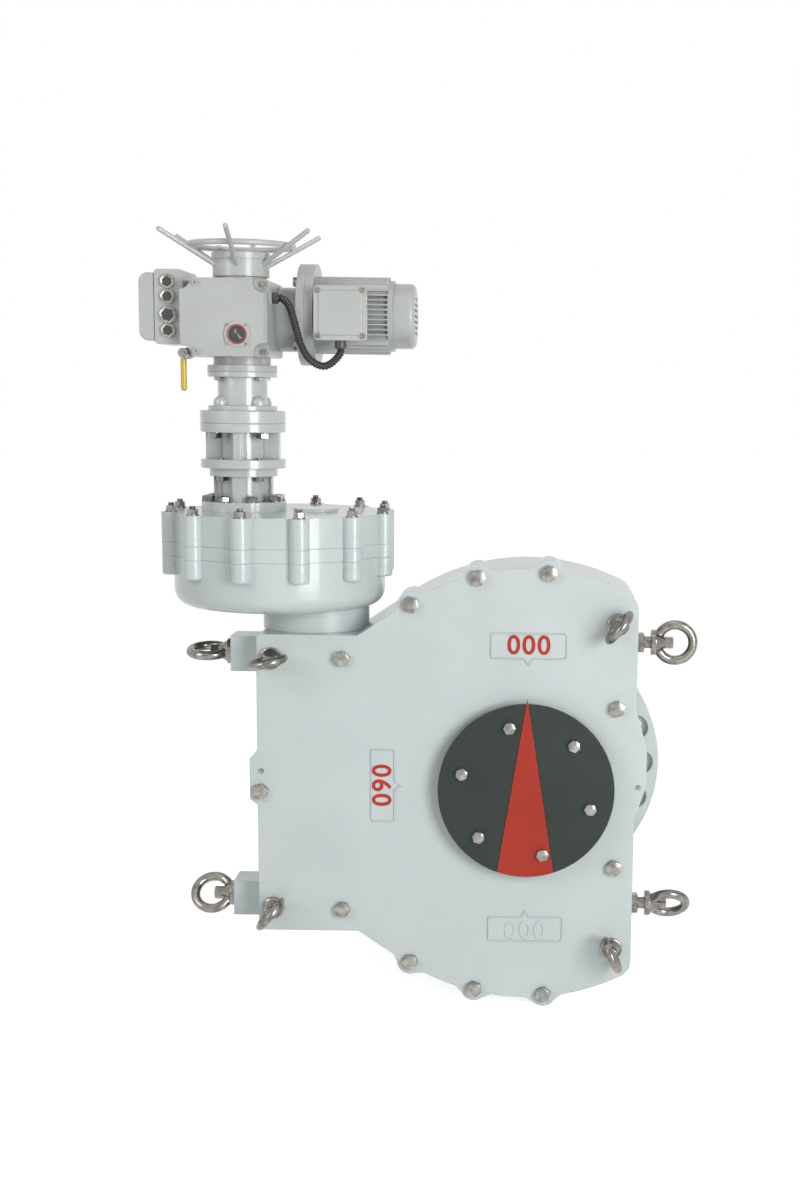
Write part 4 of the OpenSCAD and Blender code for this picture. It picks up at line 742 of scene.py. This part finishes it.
round_edges(lid, 6, 4, lambda m, d, n: abs(m.y - COVER_FRONT) < 0.1 and abs(d.y) < 0.1
            and min(abs(f.y) for f in n) < 0.3 and math.hypot(m.x - INPUT_X - 14, m.z - Z_CASTING - 52) > 30
            and all(math.hypot(m.x - CONTROL_L - 38, m.z - z) > 8 for z in screw_heights))
dress(rounded(lid, 1.2, 2, 40), actuator_enamel, "frame", "actuator_paint", "control_cover")


def socket_screw(radius, height, socket, name):
    """Cylinder head screw with a hexagon socket."""
    piece = rounded(cylinder(radius, 0, height, 40, name), 0.7, 2)
    return combine(piece, cylinder(socket / math.sqrt(3), height * 0.45, height + 2, 6), "DIFFERENCE")


copies(socket_screw(7, 8, 6.5, "control_cover_screw"), "control_cover_screw",
       [facing_front(CONTROL_R - 12, Y_CONTROL - 14, z) for z in screw_heights],
       zinc, "frame", "bright_steel", "control_cover_screws")
# the two at the left are painted over
copies(socket_screw(7, 8, 6.5, "painted_screw"), "painted_screw",
       [facing_front(CONTROL_L + 38, COVER_FRONT, z) for z in screw_heights],
       actuator_enamel, "frame", "bright_steel", None)


# ---------------------------------------------------------------- position window
# A ring with four screwed ears holds a round pane, with a thin rim in faded red paint around
# it; behind the pane turns a black dial with white marks.
WINDOW_X, WINDOW_Z = INPUT_X + 14, Z_CASTING + 52
BEZEL_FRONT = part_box("window_bezel")[0][1] * 1000
dress(rounded(whole_copy("window_bezel", "window_ring"), 1.5, 3), actuator_enamel, "frame", "bezel_pink",
      "window_bezel")
faded_red = paint("faded red paint", "#B4505A", "#A04650", 0.4, 0.04, 0.05, 0.1)
rim = combine(cylinder(24, -0.4, 1.0, 64, "red_rim"), cylinder(20.2, -2, 3, 64), "DIFFERENCE")
rounded(rim, 0.35, 2)
rim.data.transform(facing_front(WINDOW_X, BEZEL_FRONT, WINDOW_Z))
dress(rim, faded_red, "frame", "bezel_pink")
EAR_SCREW_R = 31
copies(socket_screw(3.2, 2.4, 2.6, "ear_screw"), "ear_screw",
       [facing_front(WINDOW_X + x, BEZEL_FRONT, WINDOW_Z + z)
        for x, z in (polar(EAR_SCREW_R, a) for a in DIAGONALS)],
       zinc, "frame", "bright_steel", None)
# float glass, clear all through, with a faint haze from handling
glass = bpy.data.materials.new("toughened window glass")
glass.use_nodes = True
pane = glass.node_tree.nodes["Principled BSDF"]
pane.inputs["Transmission Weight"].default_value = 1.0
pane.inputs["Roughness"].default_value = 0.02
pane.inputs["IOR"].default_value = 1.5
finish_with(glass, "window_glass")
dial_plastic = paint("black dial plastic", "#2A2C2C", "#202222", 0.4, 0.02, 0.02, 0.0)
finish_with(dial_plastic, "position_dial")
mark_white = paint("white ink on the dial", "#E4E4DE", "#D6D6D0", 0.5, 0.02, 0.02, 0.0)
DIAL_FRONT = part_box("position_dial")[0][1] * 1000


def dial_mark(length, width, radius, angle):
    """A printed mark: its middle lies at radius, and it points outwards at angle."""
    bpy.ops.object.select_all(action="DESELECT")
    bpy.ops.mesh.primitive_cube_add(size=1)
    piece = bpy.context.object
    piece.data.transform(Matrix.Diagonal((length / 1000, 0.0003, width / 1000, 1)))
    piece.data.transform(moved(WINDOW_X, DIAL_FRONT - 0.1, WINDOW_Z) @ turned(-angle, "Y")
                         @ moved(radius, 0, 0))
    return piece


marks = [dial_mark(9, 2.4, 7, 125), dial_mark(2.4, 8, 9, 125), dial_mark(5, 2.0, 12.5, 118),
         dial_mark(7, 2.2, 5, 310), dial_mark(2.2, 6, 9.5, 305), dial_mark(3.5, 3.5, 12, 318),
         dial_mark(3, 1.6, 2, 30)]
dress(rounded(joined(marks, "dial_marks"), 0.08, 1), mark_white, "dial", "dial_black")


# ---------------------------------------------------------------- terminal housing and plugs
# Cast terminal housing with its bolted cap at the far left, and four blanking plugs in its
# front: nickel plated hexagons, each around a dark hexagon insert.
dress(rounded(whole_copy("terminal_housing", "terminal_casting"), 4, 4), actuator_enamel, "frame",
      "actuator_paint", "terminal_housing")
cap = whole_copy("terminal_cap", "terminal_cap_casting")
dress(rounded(cap, 9, 5, 50), actuator_enamel, "frame", "actuator_paint", "terminal_cap")
plug_plastic = paint("moulded black polyamide", "#474A49", "#3B3E3D", 0.34, 0.04, 0.05, 0.0)


def plug_rim(scale, name):
    """The nickel plated hexagon of a plug, hollow for its dark insert."""
    flange = rounded(cylinder(17.5 * scale, 0, 3, 48, name), 0.8, 2)
    return joined([flange, combine(hexagon(30 * scale, 2.5, 9.5, name), cylinder(12.7 * scale, 5, 20, 6),
                                   "DIFFERENCE")], name)


def plug_insert(scale, name):
    return rounded(cylinder(13.2 * scale, 4, 10.5, 6, name), 0.8, 2)


nickel = metal("nickel plated brass", "#A3A49F", "#888984", 0.2, 0.34, 1.4, 0.04)
PLUG_X, TERMINAL_Z, PLUG_Y = CONTROL_L - 36, Z_CASTING + 116, MID_Y - 20 - 84
plug_places = [(59, 5, 1.0), (24, 22, 1.0), (-19, 17, 1.22), (-56, 13, 1.0)]
for k, (dz, turn, scale) in enumerate(plug_places):
    there = [facing_front(PLUG_X, PLUG_Y, TERMINAL_Z + dz, turn)]
    copies(plug_rim(scale, "plug_rim"), "plug_rim_%d" % k, there, nickel, "frame", "plug_black", None)
    copies(plug_insert(scale, "plug_insert"), "plug_insert_%d" % k, there, plug_plastic, "frame",
           "plug_black", None if k else "cable_plugs")


# ---------------------------------------------------------------- clutch lever
# Zinc plated rod on a pin in the housing's lug, its end dipped in yellow vinyl.
dress(rounded(whole_copy("lever_rod", "clutch_lever_rod"), 1, 2), zinc, "clutch_lever", "bright_steel",
      "lever_rod")
grip_vinyl = paint("yellow dipped vinyl", "#DDB92C", "#CFA81F", 0.3, 0.05, 0.1, 0.3)
dress(rounded(whole_copy("lever_grip", "lever_grip_dip"), 1.2, 3), grip_vinyl, "clutch_lever", "grip_yellow",
      "lever_grip")


# ---------------------------------------------------------------- handwheel
# Six sloping spokes and a rim of round steel rod, welded to a turned hub and painted.
wheel_enamel = paint("light grey enamel on steel rod", "#C8CBC7", "#BEC1BD", 0.34, 0.03, 0.08, 0.3, 2.0)
dress(rounded(whole_copy("handwheel", "spoked_handwheel"), 1.5, 3, 40), wheel_enamel, "hand_drive",
      "handwheel_paint", "handwheel")
dress(rounded(whole_copy("handwheel_knob", "hub_plug"), 0.8, 2), wheel_enamel, "hand_drive",
      "actuator_paint", "handwheel_knob")


# ---------------------------------------------------------------- motor
# Cast intermediate body, finned motor between two flanges, terminal box and domed fan cowl.
dress(rounded(whole_copy("motor_adapter", "motor_adapter_casting"), 3, 3), actuator_enamel, "frame",
      "actuator_paint", "motor_adapter")
dress(rounded(whole_copy("motor_body", "finned_motor_body"), 1.0, 2), actuator_enamel, "frame",
      "actuator_paint", "motor_body")
dress(rounded(whole_copy("motor_terminal_box", "motor_terminal_box_casting"), 2.5, 3), actuator_enamel,
      "frame", "actuator_paint", "motor_terminal_box")
dress(rounded(whole_copy("fan_cowl", "domed_fan_cowl"), 1.5, 2), actuator_enamel, "frame", "actuator_paint",
      "fan_cowl")
MOTOR_Y, Z_DRIVE = -128.5, Z_CASTING + 108
X_FLANGE = CONTROL_R + 54
BOX_X, BOX_Y = X_FLANGE + 42 + 71, MOTOR_Y - 95 - 58
MOTOR_BOLT_R, LID_HALF = 108, 54


def facing_left(x, y, z, turn=0):
    """From upright to pointing left at x, y, z in mm."""
    return moved(x, y, z) @ turned(-90, "Y") @ turned(turn, "Z")


motor_bolts = [(a, *polar(MOTOR_BOLT_R, a)) for a in DIAGONALS]
copies(bolt_with_washer(21, 9, 12, 2.5, "motor_bolt"), "motor_bolt",
       [facing_left(X_FLANGE, MOTOR_Y + y, Z_DRIVE + z, turn) for turn, y, z in motor_bolts],
       zinc, "frame", "bright_steel", "motor_bolts")
# the lid's raised panel, its corners cut off for the screws
panel = block(BOX_X - LID_HALF, BOX_X + LID_HALF, BOX_Y - 2.6, BOX_Y + 2.2,
              Z_DRIVE - LID_HALF, Z_DRIVE + LID_HALF, "lid_panel")
round_edges(panel, 17, 1, lambda m, d, n: abs(d.y) > 0.9)
dress(rounded(panel, 1.0, 3), actuator_enamel, "frame", "actuator_paint")
lid_corners = [(BOX_X + sx * LID_HALF, Z_DRIVE + sz * LID_HALF) for sx in (-1, 1) for sz in (-1, 1)]
copies(socket_screw(7, 5, 6, "motor_box_screw"), "motor_box_screw",
       [facing_front(x, BOX_Y, z) for x, z in lid_corners],
       zinc, "frame", "bright_steel", "motor_box_screws")


# ---------------------------------------------------------------- conduit
# Corrugated black polyamide conduit, 20 mm across its ridges, from the control box to the
# motor's terminal box, held by a gland at each end.
conduit_plastic = paint("black corrugated polyamide", "#26292A", "#1B1D1E", 0.33, 0.03, 0.03, 0.1)
# from one gland down and up to the other; x is counted from the control cover's right side, y and
# z from the motor's axis
gland_route = [(18, -153, 33), (26, -153, 33), (38, -157, 25), (49, -163, 6), (57, -167, -19),
               (64, -167, -45), (71, -164, -71), (81, -161, -94), (94, -157, -112), (110, -152, -123),
               (127, -147, -127), (142, -142, -121), (154, -138, -110), (163, -135, -99),
               (166, -134, -91), (166, -134, -84)]
route = [Vector((CONTROL_R + x, MOTOR_Y + y, Z_DRIVE + z)) / 1000 for x, y, z in gland_route]


def smooth_line(points, steps):
    """A curve through all the points, with steps parts between each two of them."""
    ends = [points[0] * 2 - points[1]] + points + [points[-1] * 2 - points[-2]]
    line = []
    for a, b, c, d in zip(ends, ends[1:], ends[2:], ends[3:]):
        for k in range(steps):
            t = k / steps
            line.append(0.5 * (2 * b + (c - a) * t + (2 * a - 5 * b + 4 * c - d) * t * t
                               + (3 * b - a - 3 * c + d) * t ** 3))
    return line + [points[-1]]


line = smooth_line(route, 8)
conduit_length = sum((b - a).length for a, b in zip(line, line[1:]))
RIDGE, STEPS, SIDES = 0.0066, 6, 24  # from ridge to ridge, and how finely it is drawn
MID_R, WAVE = 0.0089, 0.0011
rings = int(conduit_length / RIDGE * STEPS)
verts, faces = [], []
travelled = [0.0]
for a, b in zip(line, line[1:]):
    travelled.append(travelled[-1] + (b - a).length)
side = Vector((0, 1, 0))
for k in range(rings + 1):
    want = conduit_length * k / rings
    i = max(j for j in range(len(line) - 1) if travelled[j] <= want + 1e-9)
    share = (want - travelled[i]) / (travelled[i + 1] - travelled[i])
    centre = line[i].lerp(line[i + 1], share)
    ahead = (line[i + 1] - line[i]).normalized()
    across = (side - ahead * side.dot(ahead)).normalized()
    other = ahead.cross(across)
    radius = MID_R + WAVE * math.cos(math.tau * k / STEPS)
    for j in range(SIDES):
        a = math.tau * j / SIDES
        verts.append(centre + radius * (math.cos(a) * across + math.sin(a) * other))
for k in range(rings):
    this, after = k * SIDES, (k + 1) * SIDES
    for j in range(SIDES):
        faces.append((this + j, this + (j + 1) % SIDES, after + (j + 1) % SIDES, after + j))
faces += [tuple(reversed(range(SIDES))), tuple(rings * SIDES + j for j in range(SIDES))]
tube = bpy.data.meshes.new("corrugated_conduit")
tube.from_pydata(verts, [], faces)
conduit = bpy.data.objects.new("corrugated_conduit", tube)
scene.collection.objects.link(conduit)
only(conduit)
bpy.ops.object.mode_set(mode="EDIT")
bpy.ops.mesh.select_all(action="SELECT")
bpy.ops.mesh.normals_make_consistent(inside=False)
bpy.ops.object.mode_set(mode="OBJECT")
dress(conduit, conduit_plastic, "frame", "conduit_black", "conduit", angle=60)
dress(rounded(whole_copy("conduit_glands", "conduit_gland_nuts"), 1.2, 2), plug_plastic, "frame",
      "plug_black", "conduit_glands")
